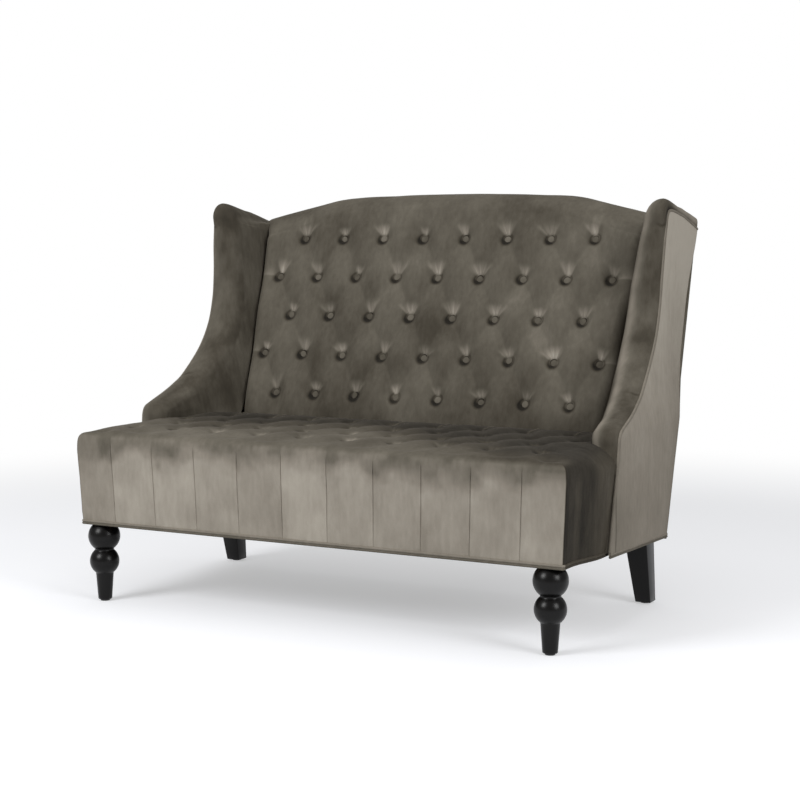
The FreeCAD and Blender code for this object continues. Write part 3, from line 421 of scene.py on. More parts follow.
def button_places(counts, first, pitch):
    """Places of the buttons of staggered rows, each row with its own count."""
    return [((i - (count - 1) / 2) * 2 * HALF_PITCH, first + row * pitch)
            for row, count in enumerate(counts) for i in range(count)]


BACK_BUTTONS = button_places((8, 9, 8, 9, 8), 0.0, BACK_ROW_PITCH)
SEAT_BUTTONS = button_places((10, 9, 10, 9), SEAT_FIRST_ROW, SEAT_ROW_PITCH)


def fold_share(x, row, rows, last, crisp=0.07):
    """1 on the folds between neighbouring buttons, falling to 0 in the middle of each cell, and the place
    in the cell, from -1 at its lowest button to 1 at its highest.

    row counts up from the first row of buttons. Past the outer buttons the folds run on straight.
    """
    a = np.clip(x / HALF_PITCH, -last, last)
    b = np.clip(row - FOLD_ARCH * np.sin(pi * a) ** 2, 0, rows - 1)
    depth, rise = 1, 0
    for share, sign in (((a + b - 1) / 2, 1), ((a - b - 1) / 2, -1)):
        off = np.sqrt((share - np.round(share)) ** 2 + FOLD_SOFTNESS ** 2)
        sharp = bell(off, FOLD_WIDTH, 1.2)
        wide = np.clip(1 - 2 * off, 0, 1) ** 1.9
        depth = depth * (1 - (crisp * sharp + (1 - crisp) * wide))
        rise = rise + sign * (share - np.floor(share) - 0.5)
    return 1 - depth, rise


def tuft_buttons(x, v, places, pit, seed):
    """Depth of the pits, with the pleats gathered above each, and the painted sheen, highlights and shade
    around them.
    """
    rng = np.random.default_rng(seed)
    height, nap_and_painted_light = np.zeros((2, *x.shape))
    for bx, bv in places:
        lean = rng.uniform(-0.3, 0.3)
        phase = rng.uniform(0, 2 * pi, 4)
        size = rng.uniform(0.75, 1.2)
        spread = rng.uniform(0.45, 0.85)
        bright = rng.uniform(0.34, 0.66)
        dx, dv = x - bx, v - bv
        near = np.abs(dx) + np.abs(dv) < TUFT_REACH
        dx, dv = dx[near], dv[near]
        r = np.hypot(dx, dv) + 1e-6
        angle = wrapped(np.arctan2(dx, dv) - lean)
        upward = (0.5 + 0.5 * np.cos(angle)) ** 1.6
        sunk = pit * bell(r, PIT_REACH + PIT_REACH * upward * size)
        gather = 0.12 + 0.88 * bell(angle, spread)
        ribs = 0.55 * np.sin(13 * angle + phase[0]) + 0.45 * np.sin(23 * angle + phase[1] + 0.05 * r)
        beside = smooth(9, 15, r)
        strength = 1.5 * beside * np.exp(-np.clip(r - PIT_REACH, 0, None) / (PIT_REACH * size)) * gather
        height[near] += ribs * strength - sunk
        # Painted sheen: a bright fan of streaks over the gathers above each button
        painted_sheen_fan = bell(angle, 0.85 * spread, 4) * smooth(8, 14, r) * (1 - smooth(15, FAN_REACH * size, r))
        streak = 0.78 + 0.13 * np.sin(13 * angle + phase[0]) + 0.09 * np.sin(29 * angle + phase[2])
        # Painted highlight along one crease at the edge of the fan
        arm = angle - rng.choice((-1, 1)) * spread
        crease = bell(arm, 0.12) * beside * (1 - smooth(26 * size, 52 * size, r))
        # Painted shade: a dark patch below each button, a little to its left, and a dark ring round its edge,
        # weaker under the fan
        dark = bell(wrapped(angle + SHADE_TURN), 1.2) * bell(r, SHADE_REACH, 6)
        ring = bell(r - BUTTON_RING, 2.2) * (1 - 0.6 * painted_sheen_fan)
        nap_and_painted_light[near] += bright * painted_sheen_fan * streak + 0.16 * crease - 0.42 * dark - 0.18 * ring
    return height, nap_and_painted_light


def back_height(x, v, v_end, end):
    """Padding over the button plane of the inside back, and the tone of the pile there, with painted light.
    """
    top = np.clip((v - 4 * BACK_ROW_PITCH) / (v_end - 4 * BACK_ROW_PITCH), 0, 1)
    low = np.clip(-v / BACK_BELOW, 0, 1)
    crown = BACK_CROWN - (BACK_CROWN - BACK_TOP_FILL) * top ** 2 - (BACK_CROWN - BACK_FOOT_FILL) * low ** 2
    fold = BACK_FOLD + 4 * top - 3 * low
    share, rise = fold_share(x, v / BACK_ROW_PITCH, 5, 8)
    pits, nap_and_painted_light = tuft_buttons(x, v, BACK_BUTTONS, BACK_PIT, 11)
    height = crown - (crown - fold) * share + pits
    height += 1.1 * cloudy(x, v, 95, 21, 2) * (1 - share)
    height += 0.22 * cloudy(x, v, 16, 25, 2)
    height -= (height + BACK_END_TUCK) * edge_drop(end - np.abs(x), BACK_END_ROUND)
    nap_and_painted_light = 0.36 + nap_and_painted_light + 0.08 * cloudy(x * 1.3, v, 170, 31) + 0.03 * cloudy(x * 2, v, 60, 36)
    # Painted light: each cell a little lighter towards its top, just under the button above
    nap_and_painted_light += 0.08 * rise * (1 - share)
    beside = smooth(8 * HALF_PITCH, 8.35 * HALF_PITCH, np.abs(x))
    for row in (1, 3):
        above = v - row * BACK_ROW_PITCH
        nap_and_painted_light += 0.22 * beside * smooth(-1, 5, above) * np.exp(-np.clip(above, 0, None) / 16)
    return height, nap_and_painted_light - 0.08 * low


def back_cover():
    columns = int(2 * BACK_END_LOW / FINE)
    u = np.linspace(-1, 1, columns)
    x_top = u * back_end(HEIGHT - CREST_ROLL)
    line = crest_height(x_top * (1 + CREST_FLARE))
    pinch = edge_drop((1 - np.abs(u)) * BACK_END_LOW, CREST_END_ROUND)
    top = line - 7 * pinch
    v_end = slope_at(top - CREST_ROLL, BACK_TOP_FILL)
    t = np.linspace(0, 1, int((BACK_BELOW + slope_at(HEIGHT - CREST_ROLL, 0)) / FINE))
    v = -BACK_BELOW + (v_end[:, None] + BACK_BELOW) * t[None, :]
    end = back_end(back_point(v, 10)[1])
    x = u[:, None] * end
    height, nap_and_painted_light = back_height(x, v, v_end[:, None] * np.ones_like(v), end)
    y, z = back_point(v, height)

    # Over the crest: from the face to the top line, and from there down to the rear seam
    start = points(y[:, -1], z[:, -1])
    rear = points(DEPTH / 2 - (HEIGHT - top) * OUTSIDE_SLOPE - 9 * pinch, top - CREST_ROLL)
    summit = points((start[:, 0] + rear[:, 0]) / 2, top)
    rake = sin(BACK_RAKE), cos(BACK_RAKE)
    up, level, down = CREST_PULL * np.array([rake, (1, 0), CREST_DOWN])
    s = np.linspace(0, 1, CREST_STEPS + 1)[1:, None, None]
    over = np.concatenate([bezier(start, start + up, summit - level, summit, s),
                           bezier(summit, summit + level, rear - down, rear, s)])
    tail_z = line - CREST_TAIL + 5 * pinch
    tail = points(outside_y(tail_z) - 1, tail_z)
    tucked = points(outside_y(tail_z) - 7, tail_z - 3)
    inner = points(rear[:, 0] - 27, top - 14)
    pad_top = points(*back_point(slope_at(top - 15, -BACK_PAD), -BACK_PAD))
    pad_low = points(*back_point(np.full_like(top, -BACK_BELOW), -BACK_PAD))
    more = np.concatenate([over, [tail, tucked, inner, pad_top, pad_low]])
    more_y, more_z = more[:, :, 0].T, more[:, :, 1].T
    more_x = u[:, None] * np.minimum(back_end(more_z), back_end(HEIGHT - CREST_ROLL))
    flare = np.concatenate([np.linspace(0, 1, CREST_STEPS), np.linspace(1, 0.5, CREST_STEPS), np.zeros(5)])
    more_x *= 1 + CREST_FLARE * smooth(0, 1, flare)[None, :]
    rings = np.hstack([points(x, y, z), points(more_x, more_y, more_z)])

    # A little unevenness along the crest
    puff = 0.8 * cloudy(more_x, more_z + more_y, 60, 41, 2)
    rings[:, x.shape[1]:-3, 2] += puff[:, :-3] * np.linspace(0, 1, more_x.shape[1] - 3) ** 0.3
    more_nap = 0.34 + 0.07 * cloudy(more_x, more_y, 80, 43)
    more_nap = mix(nap_and_painted_light[:, -1:], more_nap, smooth(0, 12, np.arange(more_x.shape[1])))
    rear_row = x.shape[1] + len(over) - 1
    hubs = (rings[[0, -1], x.shape[1] - 1] + rings[[0, -1], rear_row]) / 2
    return ringed("back_cushion", rings, np.hstack([nap_and_painted_light, more_nap]), VELVET, hubs)


# Seat

def seat_columns():
    """x of the seat's columns at its front edge, closer together at the pleats."""
    even = np.round(np.linspace(-SEAT_CORE_HALF, SEAT_CORE_HALF, SEAT_COLUMNS + 1), 3)
    pleats = np.arange(-9, 10, 2)[:, None] * HALF_PITCH
    even = even[np.abs(even - pleats).min(axis=0) > 8]
    return np.unique(np.concatenate([even, *(pleats + PLEAT_STEPS), *(pleats - PLEAT_STEPS)]))


def seat_half(y):
    """Half width of the seat's top, which narrows between the wings."""
    narrow = SEAT_CORE_HALF - 4
    rear = back_end(SEAT_TOP) - 0.6
    return np.interp(y, [SEAT_NARROW_START, SEAT_EAR_END, SEAT_END], [SEAT_CORE_HALF, narrow, rear])


def seat_height(x, y):
    """Height of the seat's top, and the tone of the pile there, with painted light."""
    front = np.clip((SEAT_FIRST_ROW - y) / (SEAT_FIRST_ROW - SEAT_EDGE_Y), 0, 1)
    last_row = SEAT_FIRST_ROW + 3 * SEAT_ROW_PITCH
    rear = np.clip((y - last_row) / (SEAT_END - last_row), 0, 1)
    side = smooth(9 * HALF_PITCH, SEAT_CORE_HALF, np.abs(x))
    crown = SEAT_CROWN - 12 * front ** 2 - 9 * rear ** 2 - 6 * side
    fold = SEAT_FOLD - 2 * front - rear
    share, rise = fold_share(x, (y - SEAT_FIRST_ROW) / SEAT_ROW_PITCH, 4, 9, 0.06)
    share = share * (1 - side)
    pits, nap_and_painted_light = tuft_buttons(x, y, SEAT_BUTTONS, SEAT_PIT, 13)
    height = crown - (crown - fold) * share + pits
    height += 0.9 * cloudy(x, y, 80, 51, 2) * (1 - share) + 0.2 * cloudy(x, y, 15, 55, 2)
    column = 2 * HALF_PITCH * np.round(x / (2 * HALF_PITCH))
    pleat = bell(x - column, 2.2) * smooth(last_row + 12, last_row + 40, y) * (np.abs(column) < 480)
    height += 2 * pleat
    # Painted light: each cell a little lighter towards its rear button
    nap_and_painted_light = 0.42 + 0.6 * nap_and_painted_light + 0.10 * cloudy(x, y, 120, 61) + 0.05 * rise * (1 - share)
    nap_and_painted_light = nap_and_painted_light - 0.42 * smooth(-330, 30, y) - 0.32 * smooth(0, 560, x) * smooth(-470, -300, y)
    # Painted highlight along the ridges of the short pleats at the rear
    return height, np.maximum(nap_and_painted_light, 0.04) + 0.3 * pleat


def pleat_relief(x):
    """Depth of the sewn pleats of the front: a thin crease with a lapped edge."""
    k = np.clip(2 * np.round((x / HALF_PITCH - 1) / 2) + 1, -9, 9)
    off = x - k * HALF_PITCH
    crease = 2 * bell(off, 0.8) + 0.5 * np.exp(-np.abs(off) / 7)
    lap = 0.5 * np.exp(-np.abs(off - 3) / 2.5) * (off > 0.3)
    return crease - lap


def corner_points():
    """Plan of the seat's front corner in shares of its overhang, from the end to the front."""
    arc = np.linspace(0, pi / 2, 11)
    straight = np.linspace(0, 1 - CORNER_ROUND, 7)
    turn = [(1 - CORNER_ROUND * (1 - cos(t)), 1 - CORNER_ROUND * (1 - sin(t))) for t in arc]
    return [(1, t) for t in straight[1:-1]] + turn + [(t, 1) for t in straight[-2:0:-1]]


def towards_wing(y):
    """0 at the seat's front corner and 1 where its end meets the wing's flange."""
    return smooth(SEAT_EDGE_Y, ARM_FRONT - 60, y)


def seat_cover():
    columns = seat_columns()
    u = columns / SEAT_CORE_HALF
    rows = np.linspace(SEAT_EDGE_Y, SEAT_END, 160)
    x = u[:, None] * seat_half(rows)[None, :]
    y = np.broadcast_to(rows[None, :], x.shape).copy()
    height, nap_and_painted_light = seat_height(x, y)
    z = SEAT_PIT_Z + height
    z -= SEAT_EDGE_FALL * edge_drop(SEAT_END - y, SEAT_REAR_ROLL)
    between_wings = smooth(SEAT_EAR_END - 16, SEAT_EAR_END, y)
    z -= SEAT_EDGE_FALL * edge_drop(seat_half(y) - np.abs(x), SEAT_EDGE_ROUND) * between_wings
    core = points(x, y, z)

    # Skirt: outwards and down from the core's front and side edges
    side_rows = rows[rows <= SEAT_EAR_END + 2]
    corner = corner_points()
    right = [(SEAT_CORE_HALF, r, 1, 0) for r in side_rows[::-1]]
    right += [(SEAT_CORE_HALF, SEAT_EDGE_Y, cx, cy) for cx, cy in corner]
    front = [(c, SEAT_EDGE_Y, 0, 1) for c in columns[::-1]]
    left = [(-bx, by, -ex, ey) for bx, by, ex, ey in reversed(right)]
    bx, by, ex, ey = np.array(right + front + left).T[:, :, None]

    def along_edge(field):
        """A field of the top, along its right side, its front and its left side."""
        sides, turn = len(side_rows), len(corner)
        return np.concatenate([field[-1, :sides][::-1], [field[-1, 0]] * turn, field[::-1, 0],
                               [field[0, 0]] * turn, field[0, :sides]])[:, None]

    roll = np.linspace(0, pi / 2, 26)
    fall = np.linspace(0, 1, 52)[1:]
    square = np.interp(by, [SEAT_EDGE_Y, SQUARE_END_Y], [EDGE_SQUARE, 2])
    square = np.where(ey > 0, EDGE_SQUARE, square)
    full = np.ones((len(bx), len(fall)))
    out = np.hstack([np.sin(roll) ** (2 / square), full])
    down = np.hstack([1 - np.cos(roll) ** (2 / square), full])
    below = np.append(0 * roll, fall)
    reached = towards_wing(by)
    depth = (SEAT_TOP - SEAT_BROW_Z) * down + (SEAT_BROW_Z - FRONT_HEM + END_DROP * reached) * below
    sx = bx + ex * (SEAT_BROW_HALF + END_FLARE * reached - SEAT_CORE_HALF) * out
    sx *= 1 - (1 - SEAT_FOOT_HALF / SEAT_BROW_HALF) * below
    sy = by - ey * ((SEAT_EDGE_Y - SEAT_BROW_Y) * out - (SEAT_FOOT_Y - SEAT_BROW_Y) * below)
    sz = SEAT_TOP - depth + (along_edge(z) - SEAT_TOP) * (1 - smooth(0, 1, out))
    relief = pleat_relief(bx) * ey * smooth(10, 40, depth)
    relief *= 1 - 0.35 * smooth(150, 223, depth)
    along = np.where(ey > 0.5, bx, by + 900 * np.sign(bx))
    relief -= 1.2 * cloudy(along, depth, 110, 71, 3) * smooth(0, 30, depth) * (1 - smooth(190, 223, depth))
    sx -= relief * ex
    sy += relief * ey

    # The nap is brushed down on the front face, patchily near the top, and up on the ends
    panel = np.floor((bx / HALF_PITCH + 1) / 2)
    tone = noise(panel * 1.7, 0 * panel, 82) - 1.6 * (panel < -4.5)
    patchy = 42 + 20 * cloudy(along, depth, 58, 85, 3) + 8 * cloudy(along, depth, 17, 83, 2)
    brushed = smooth(-34, 38, depth - patchy)
    bright = 0.80 + 0.06 * tone + 0.05 * cloudy(along * 1.5, depth, 90, 84)
    bright += 0.02 * noise(along / 6, depth / 45, 87)
    dull = 0.50 + 0.04 * tone + 0.10 * cloudy(along * 1.4, depth, 45, 88)
    face = mix(dull, bright, brushed)
    streaks = 0.08 * noise(along / 30, depth / 150, 90) + 0.03 * noise(along / 7, depth / 60, 91)
    end_face = 0.09 + streaks * smooth(10, 70, depth)
    end_face = end_face + 0.17 * smooth(0.62, 0.98, reached) * smooth(-10, 40, depth)
    end_share = smooth(-0.05, 0.05, np.abs(ex) - ey)
    skirt_nap = mix(along_edge(nap_and_painted_light), mix(face, end_face, end_share), smooth(0, 14, depth))
    skirt = points(sx, sy, sz)

    verts = np.vstack([core.reshape(-1, 3), skirt.reshape(-1, 3)])
    faces = grid_faces(numbered(core)) + grid_faces(numbered(skirt, nap_and_painted_light.size))
    obj = new_object("seat_cushion", verts, faces, np.append(nap_and_painted_light, skirt_nap), VELVET)
    outward(obj, SEAM_MERGE * MM)
    if sum(face.normal.z for face in obj.data.polygons) < 0:
        obj.data.flip_normals()
    shell = obj.modifiers.new("cloth and wadding", "SOLIDIFY")
    shell.thickness = COVER_THICKNESS * MM
    shell.offset = -1
    return obj


# Wings

# The seam between a wing's band and its outer panel, from the arm to the rear corner. Each row has y past
# ARM_FRONT, z, how far it is drawn in, the band's width past ARM_WIDTH, its bulge and its inner depth.
WING_SEAM = np.array([
    (-11, 352, 0, 0, 8, 16),
    (-4, 385, 0, 0, 9, 16),
    (0, 410, 0, 0, 10, 17),
    (2, 427, 0, 1, 12, 18),
    (10, 441, 0, 2, 12, 17),
    (30, 450.5, 1, 3, 11, 16),
    (87, 471.9, 3, 4.5, 10, 18),
    (127, 490.9, 6, 9, 10, 22),
    (165, 514.1, 9, 14, 11, 27),
    (232, 576.9, 14, 21.5, 12, 34),
    (276, 640.8, 15, 24, 13, 38),
    (298, 707.2, 15, 20.5, 13, 38),
    (307, 774.2, 14, 14.5, 13, 36),
    (312, 841.1, 11, 6, 13, 33),
    (315, 870, 10, 2, 13.5, 31),
    (318, 890, 9, -0.5, 15, 30),
    (320.5, 906, 8.5, -3, 20, 29),
    (325, 918, 8.5, -5, 28, 28),
    (335, 926.5, 9, -7, 31, 26),
    (352, 929, 9, -8, 26.5, 22),
    (380, 926.5, 9, -9, 22.5, 16),
    (412, 921, 9, -8, 20.5, 12),
    (440, 915.5, 8, -7, 22, 10),
    (470, 906.5, 7, -7, 24.5, 9),
    (500, 897.5, 6, -8, 27.5, 8),
    (535, 887, 5, -9, 30, 8),
]) + (ARM_FRONT, 0, 0, ARM_WIDTH, 0, 0)
SEAM_SUMMIT = int(WING_SEAM[:, 1].argmax())


def wing_inner_line():
    """Where the wing's inner face ends: along the seat, up beside the back and under the crest."""
    seat_line = [(SEAT_CORE_HALF - 3.4, -128, 398), (SEAT_CORE_HALF - 8, -96, 398),
                 (back_end(SEAT_TOP) - 0.5, 82, 398)]
    rising = [(back_end(z) + 0.5, plane_y(z, 5), z) for z in (440, 560, 700, 820, 885)]
    crest = [(back_end(905) + 1, 312, 901), (551, 345, 905), (561, 386, 896)]
    return np.array(seat_line + rising + crest)


def wing_cover(side):
    """Wing of one side: round band from the seam, inner face down to the seat and back, closed behind."""
    path = spline(WING_SEAM, 330)
    y, z, tuck, width, bulge, depth = path.T[:, :, None]
    length = np.append(0, np.cumsum(np.hypot(*np.diff(path[:, :2], axis=0).T)))
    along = unit(np.gradient(path[:, :2], axis=0))
    out_y, out_z = -along[:, 1:], along[:, :1]

    inner = wing_inner_line()
    inner_length = np.append(0, np.cumsum(np.linalg.norm(np.diff(inner, axis=0), axis=1)))
    rising = path[:int(np.argmax(z > 900)) + 1, 1]
    marks = [0, *np.interp((441, 514, 707, 899), rising, length[:len(rising)]), length[-1]]
    places = [0, 12, inner_length[2] + 4, inner_length[5] - 30, inner_length[7] - 4, inner_length[-1]]
    wanted = np.interp(length, marks, places)
    wanted = np.convolve(np.pad(wanted, 12, mode="edge"), np.ones(25) / 25, mode="valid")[:, None]
    end = points(*(np.interp(wanted, inner_length, column) for column in inner.T))

    run = length[:, None]
    outer_x = WIDTH / 2 - tuck - SEAM_STEP
    inner_x = WIDTH / 2 - tuck - width
    over_top = smooth(-30, 30, run - marks[4])
    nose_x = outer_x - (0.4 - 0.17 * over_top) * (outer_x - inner_x)
    a = np.linspace(0, 1, 19) ** 1.5 * pi / 2
    b = np.linspace(0, BAND_TURN, 25)[1:]
    band_x = np.hstack([outer_x - (outer_x - nose_x) * (1 - np.cos(a)),
                        nose_x - (nose_x - inner_x) * np.sin(b)])
    band_n = np.hstack([bulge * np.sin(a) ** (0.8 - 0.48 * over_top) - 1.5 * np.cos(a),
                        bulge - (bulge + depth) * (1 - np.cos(b))])
    band = points(band_x, y + out_y * band_n, z + out_z * band_n)

    # The inner face leaves the band smoothly and runs almost straight to its end
    start = band[:, -1:]
    turn_x = -(nose_x - inner_x) * cos(BAND_TURN)
    turn_n = -(bulge + depth) * sin(BAND_TURN)
    leave = unit(points(turn_x, out_y * turn_n, out_z * turn_n))
    reach = WING_PULL * np.linalg.norm(end - start, axis=-1, keepdims=True)
    s = np.linspace(0, 1, 50)[1:, None]
    ring = np.hstack([band, bezier(start, start + leave * reach, end - unit(end - start) * reach, end, s)])

    # Soft unevenness, with short creases where the band turns over the top and into the scoop
    across = np.concatenate([np.linspace(0, 84, band.shape[1]), 84 + np.linspace(0, 150, s.size)])[None, :]
    puff = cloudy(run, across, 75, 101, 3)
    turned = bell(run - marks[4], 34)
    scoop = bell(run - marks[2], 50)
    crease = np.sin(run / 3.6 + across / 30 + 2.5 * noise(run / 30, across / 24, 106 + side))
    band_share = bell(across - 34, 26)
    puff = puff + 0.35 * crease * band_share * (turned + 0.7 * scoop)
    fade = smooth(0, 14, across) * (1 - smooth(209, 232, across))
    ring[..., 0] -= puff * fade * (1 - band_share)
    ring[..., 1] += out_y * puff * fade * band_share
    ring[..., 2] += out_z * puff * fade * band_share

    low = np.clip((run - marks[4]) / (length[-1] - marks[4]), 0, 1)
    first, last = ring[:, :1], ring[:, -1:]
    tucked = last + points(6, 12 * (1 - low), -4)
    closing = (first + last) / 2 - points(0, 0, 20 * low)
    rings = np.hstack([ring, tucked, closing, first - 9 * points(0, out_y, out_z)])

    # Pile and painted light: a painted highlight along the band's turn that faces the light, broad soft
    # streaks down the inner face
    rim, light = (66, 0.36) if side > 0 else (20, 0.12)
    band_nap_and_painted_light = 0.31 + light * bell(across - rim, 17) + 0.09 * cloudy(run, across * 1.4, 60, 111 + side)
    # Painted shade along the seam
    band_nap_and_painted_light = band_nap_and_painted_light - 0.3 * bell(across, 5)
    # Painted shade in lines across the creases where the band turns over the top and into the scoop
    for spot, middle in ((marks[4] - 4, 20), (marks[2] - 6, 24)):
        painted_crease_shade = bell(run - spot - 3 * np.sin(across / 5), 3.4)
        band_nap_and_painted_light = band_nap_and_painted_light - 0.17 * painted_crease_shade * bell(across - middle, 11)
    strip = smooth(34, 90, run - marks[4]) * (1 - smooth(16, 34, across))
    band_nap_and_painted_light = band_nap_and_painted_light + 0.38 * strip
    depth_y, height_z = ring[..., 1], ring[..., 2]
    face_nap = 0.35 + 0.06 * cloudy(depth_y * 1.6, height_z, 110, 114)
    face_nap += 0.03 * noise(depth_y / 7, height_z / 90, 117)
    face_nap = face_nap - 0.09 * bell(height_z - 470, 60)
    nap_and_painted_light = mix(band_nap_and_painted_light, face_nap, smooth(80, 108, across))
    nap_and_painted_light = np.hstack([nap_and_painted_light, np.full((len(run), 3), 0.3)])
    rings[..., 0] *= side
    name = "right_wing" if side > 0 else "left_wing"
    return ringed(name, rings, nap_and_painted_light, VELVET)


def tuck_at(z):
    """How far the side is drawn in at a height."""
    return np.interp(z, *WING_SEAM[:SEAM_SUMMIT + 1, 1:3].T)


def top_seam(y):
    """Height of the outer panel's top seam."""
    return np.interp(y, *WING_SEAM[SEAM_SUMMIT:, :2].T)


def seam_path(last, count):
    """The seam from the hem up the panel's front edge, as (y, z, tuck), to a row of the wing's seam."""
    low = [(ARM_FRONT - 50, FRONT_HEM, 0), (ARM_FRONT - 38, 240, 0), (ARM_FRONT - 24, 298.5, 0)]
    return spline(np.vstack([low, WING_SEAM[:last + 1, :3]]), count)


def outer_panel():
    """Right outer panel from the hem to its top seam, with its front edge turned in beside the seat."""
    edge = seam_path(SEAM_SUMMIT, 190)
    v = np.linspace(0, 1, len(edge))[:, None]
    u = (np.linspace(0, 1, 90) ** 1.5)[None, :]
    fy, fz = edge[:, :1], edge[:, 1:2]
    corner_z = WING_SEAM[-1, 1]
    rear_z = REAR_HEM + (corner_z - REAR_HEM) * v
    rear_y = outside_y(rear_z) - PANEL_REAR_STEP
    y = fy + (rear_y - fy) * u
    z = fz + (rear_z - fz) * u
    straight = edge[-1, 1] + (corner_z - edge[-1, 1]) * u
    z += (top_seam(edge[-1, 0] + (PANEL_CORNER_Y - edge[-1, 0]) * u) - straight) * v ** 6
    z += (hem_height(y) - z) * (1 - smooth(0, 0.02, v)) * 0.999
    inset = 5 * np.exp(-u * 60) + 2 * np.exp(-(1 - u) * 70) + 1.6 * np.exp(-(1 - v) * 90)
    swell = 1.6 * np.sin(pi * u) ** 0.7 * np.sin(pi * v) ** 0.5
    x = WIDTH / 2 - tuck_at(z) - 2 + swell - inset * 0.55 + 0.5 * cloudy(y, z, 130, 121, 2)
    x += 4 * smooth(250, PANEL_CORNER_Y, y) * smooth(700, 880, z)
    flange = FLANGE * (1 - smooth(396, 412, fz))
    fx = x[:, :1]
    turned = [points(fx - flange - 3, fy + 1, fz), points(fx - flange * 0.5 - 2.5, fy - 0.5, fz),
              points(fx - 2.2, fy - 0.5, fz)]
    inner = [points(x[:, -1:] - 4, y[:, -1:], z[:, -1:]), points(fx - 6, fy + 6, fz),
             points(fx - flange - 4, fy + 6, fz)]
    rings = np.hstack([*turned, points(x, y, z), *inner])
    nap_and_painted_light = 0.67 + 0.36 * smooth(260, 900, z) + 0.05 * cloudy(y, z * 0.5, 120, 131)
    nap_and_painted_light += 0.015 * noise(y / 12, z / 200, 134)
    # Painted shade: a thin dark line just behind the front seam, set further back near the hem
    lip = y - fy - 4 - 26 * (1 - smooth(190, 330, z))
    nap_and_painted_light = nap_and_painted_light - 0.12 * np.exp(-(1 - u) * 26) - 0.22 * bell(lip, 3)
    # Painted shade on the two turned-in strips of the flange
    flange_painted_shade = np.broadcast_to([0.06, 0.12, 0.5], (len(edge), 3))
    nap_and_painted_light = np.hstack([flange_painted_shade, nap_and_painted_light, np.full((len(edge), 3), 0.5)])
    return ringed("right_outer_side", rings, nap_and_painted_light, VELVET)


def wing_welt():
    """Piping from the hem up the outer panel's front edge, over its corner and down its top seam."""
    y, z, tuck = seam_path(len(WING_SEAM) - 1, 320).T
    path = points(WIDTH / 2 - tuck - WELT_RADIUS - 0.4, y, z)
    return tube("right_wing_piping", path, WELT_RADIUS, 0.6)


def hem_pair(name, path, lay=0.5):
    """Double piping along a hem: two cords, one over the other, made as one piece."""
    upper = tube(name, path, HEM_RADIUS, lay)
    # Painted shade: the lower cord is darker, under the upper one
    lower = tube("lower cord", path - (0, 0, HEM_STEP), HEM_RADIUS, lay * 0.7)
    bm = bmesh.new()
    bm.from_mesh(upper.data)
    bm.from_mesh(lower.data)
    bm.to_mesh(upper.data)
    bm.free()
    bpy.data.objects.remove(lower)
    return upper


def seat_hem():
    """Double piping round the seat's foot, from wing to wing."""
    side, front = SEAT_FOOT_HALF + 0.4, SEAT_FOOT_Y - 0.4
    reach_x, reach_y = side - SEAT_CORE_HALF, SEAT_EDGE_Y - front
    corner = [(SEAT_CORE_HALF + reach_x * cx, SEAT_EDGE_Y - reach_y * cy) for cx, cy in corner_points()]
    right = [(side + END_FLARE * towards_wing(y), y) for y in np.linspace(SEAT_EAR_END, SEAT_EDGE_Y, 30)[:-1]]
    right += corner
    middle = [(x, front) for x in np.linspace(SEAT_CORE_HALF, -SEAT_CORE_HALF, 120)[1:-1]]
    x, y = np.array(right + middle + [(-x, y) for x, y in reversed(right)]).T
    lay = np.where(y < SEAT_FOOT_Y + 6, 0.66, 0.28)[:, None]
    path = points(x, y, FRONT_HEM + SEAT_HEM_RISE - END_DROP * towards_wing(y))
    return hem_pair("seat_hem_piping", path, lay)


def side_hem():
    y = np.linspace(ARM_FRONT - 46, outside_y(REAR_HEM) - PANEL_REAR_STEP, 60)
    return hem_pair("right_hem_piping", points(WIDTH / 2 - 4, y, hem_height(y) + SIDE_HEM_RISE), 0.66)


def rear_hem():
    x = np.linspace(-WIDTH / 2 + 6, WIDTH / 2 - 6, 120)
    return hem_pair("rear_hem_piping", points(x, outside_y(REAR_HEM) - 3.5, REAR_HEM - 1))


def outside_back():
    """Plain outside back, pulled tight, from the hem to the seam under the crest."""
    u = np.linspace(-1, 1, 180)[:, None]
    v = np.linspace(0, 1, 120)[None, :]
    top_half = back_end(POST_TOP)
    x_top = u * (WIDTH / 2 - 13.5)
    crest = crest_height(x_top) - CREST_TAIL - 1
    top = np.where(np.abs(x_top) > top_half - 4, POST_TOP + 13, crest)
    z = REAR_HEM + (top - REAR_HEM) * v
    half = WIDTH / 2 - SEAM_STEP - tuck_at(z)
    x = u * half
    edge = edge_drop((1 - np.abs(u)) * half, 9)
    ends = np.exp(-(1 - v) * 60) + np.exp(-v * 60)
    swell = 1.4 * np.cos(pi * u / 2) ** 0.5 * np.sin(pi * v) ** 0.5
    y = outside_y(z) - 1.6 + swell - 4 * edge - 1.2 * ends + 0.6 * cloudy(x, z, 150, 141, 2)
    front = points(x, y, z)
    back = (front - (0, PANEL_THICKNESS, 0))[:, ::-17]
    rings = np.hstack([front, back])
    nap_and_painted_light = 0.55 + 0.08 * cloudy(x, z * 0.5, 120, 151) + 0.05 * noise(x / 15, z / 260, 154)
    nap_and_painted_light = np.hstack([nap_and_painted_light, np.full((len(u), back.shape[1]), 0.4)])
    return ringed("outside_back_panel", rings, nap_and_painted_light, VELVET)


# Buttons

def button_blank(around=18):
    """Covered button, a dome with a turned-under edge, and its faces, about the origin."""
    profile = [(0, BUTTON_HEIGHT)]
    for t in np.linspace(0.12, 1, 8):
        angle = t * pi / 2
        z = BUTTON_EDGE + (BUTTON_HEIGHT - BUTTON_EDGE) * cos(angle) ** 0.75
        profile.append((BUTTON_RADIUS * sin(angle) ** 0.8, z))
    profile += [(BUTTON_RADIUS * 0.97, 0.6), (BUTTON_RADIUS * 0.8, -0.6), (0, -0.8)]
    return lathe(profile, around)


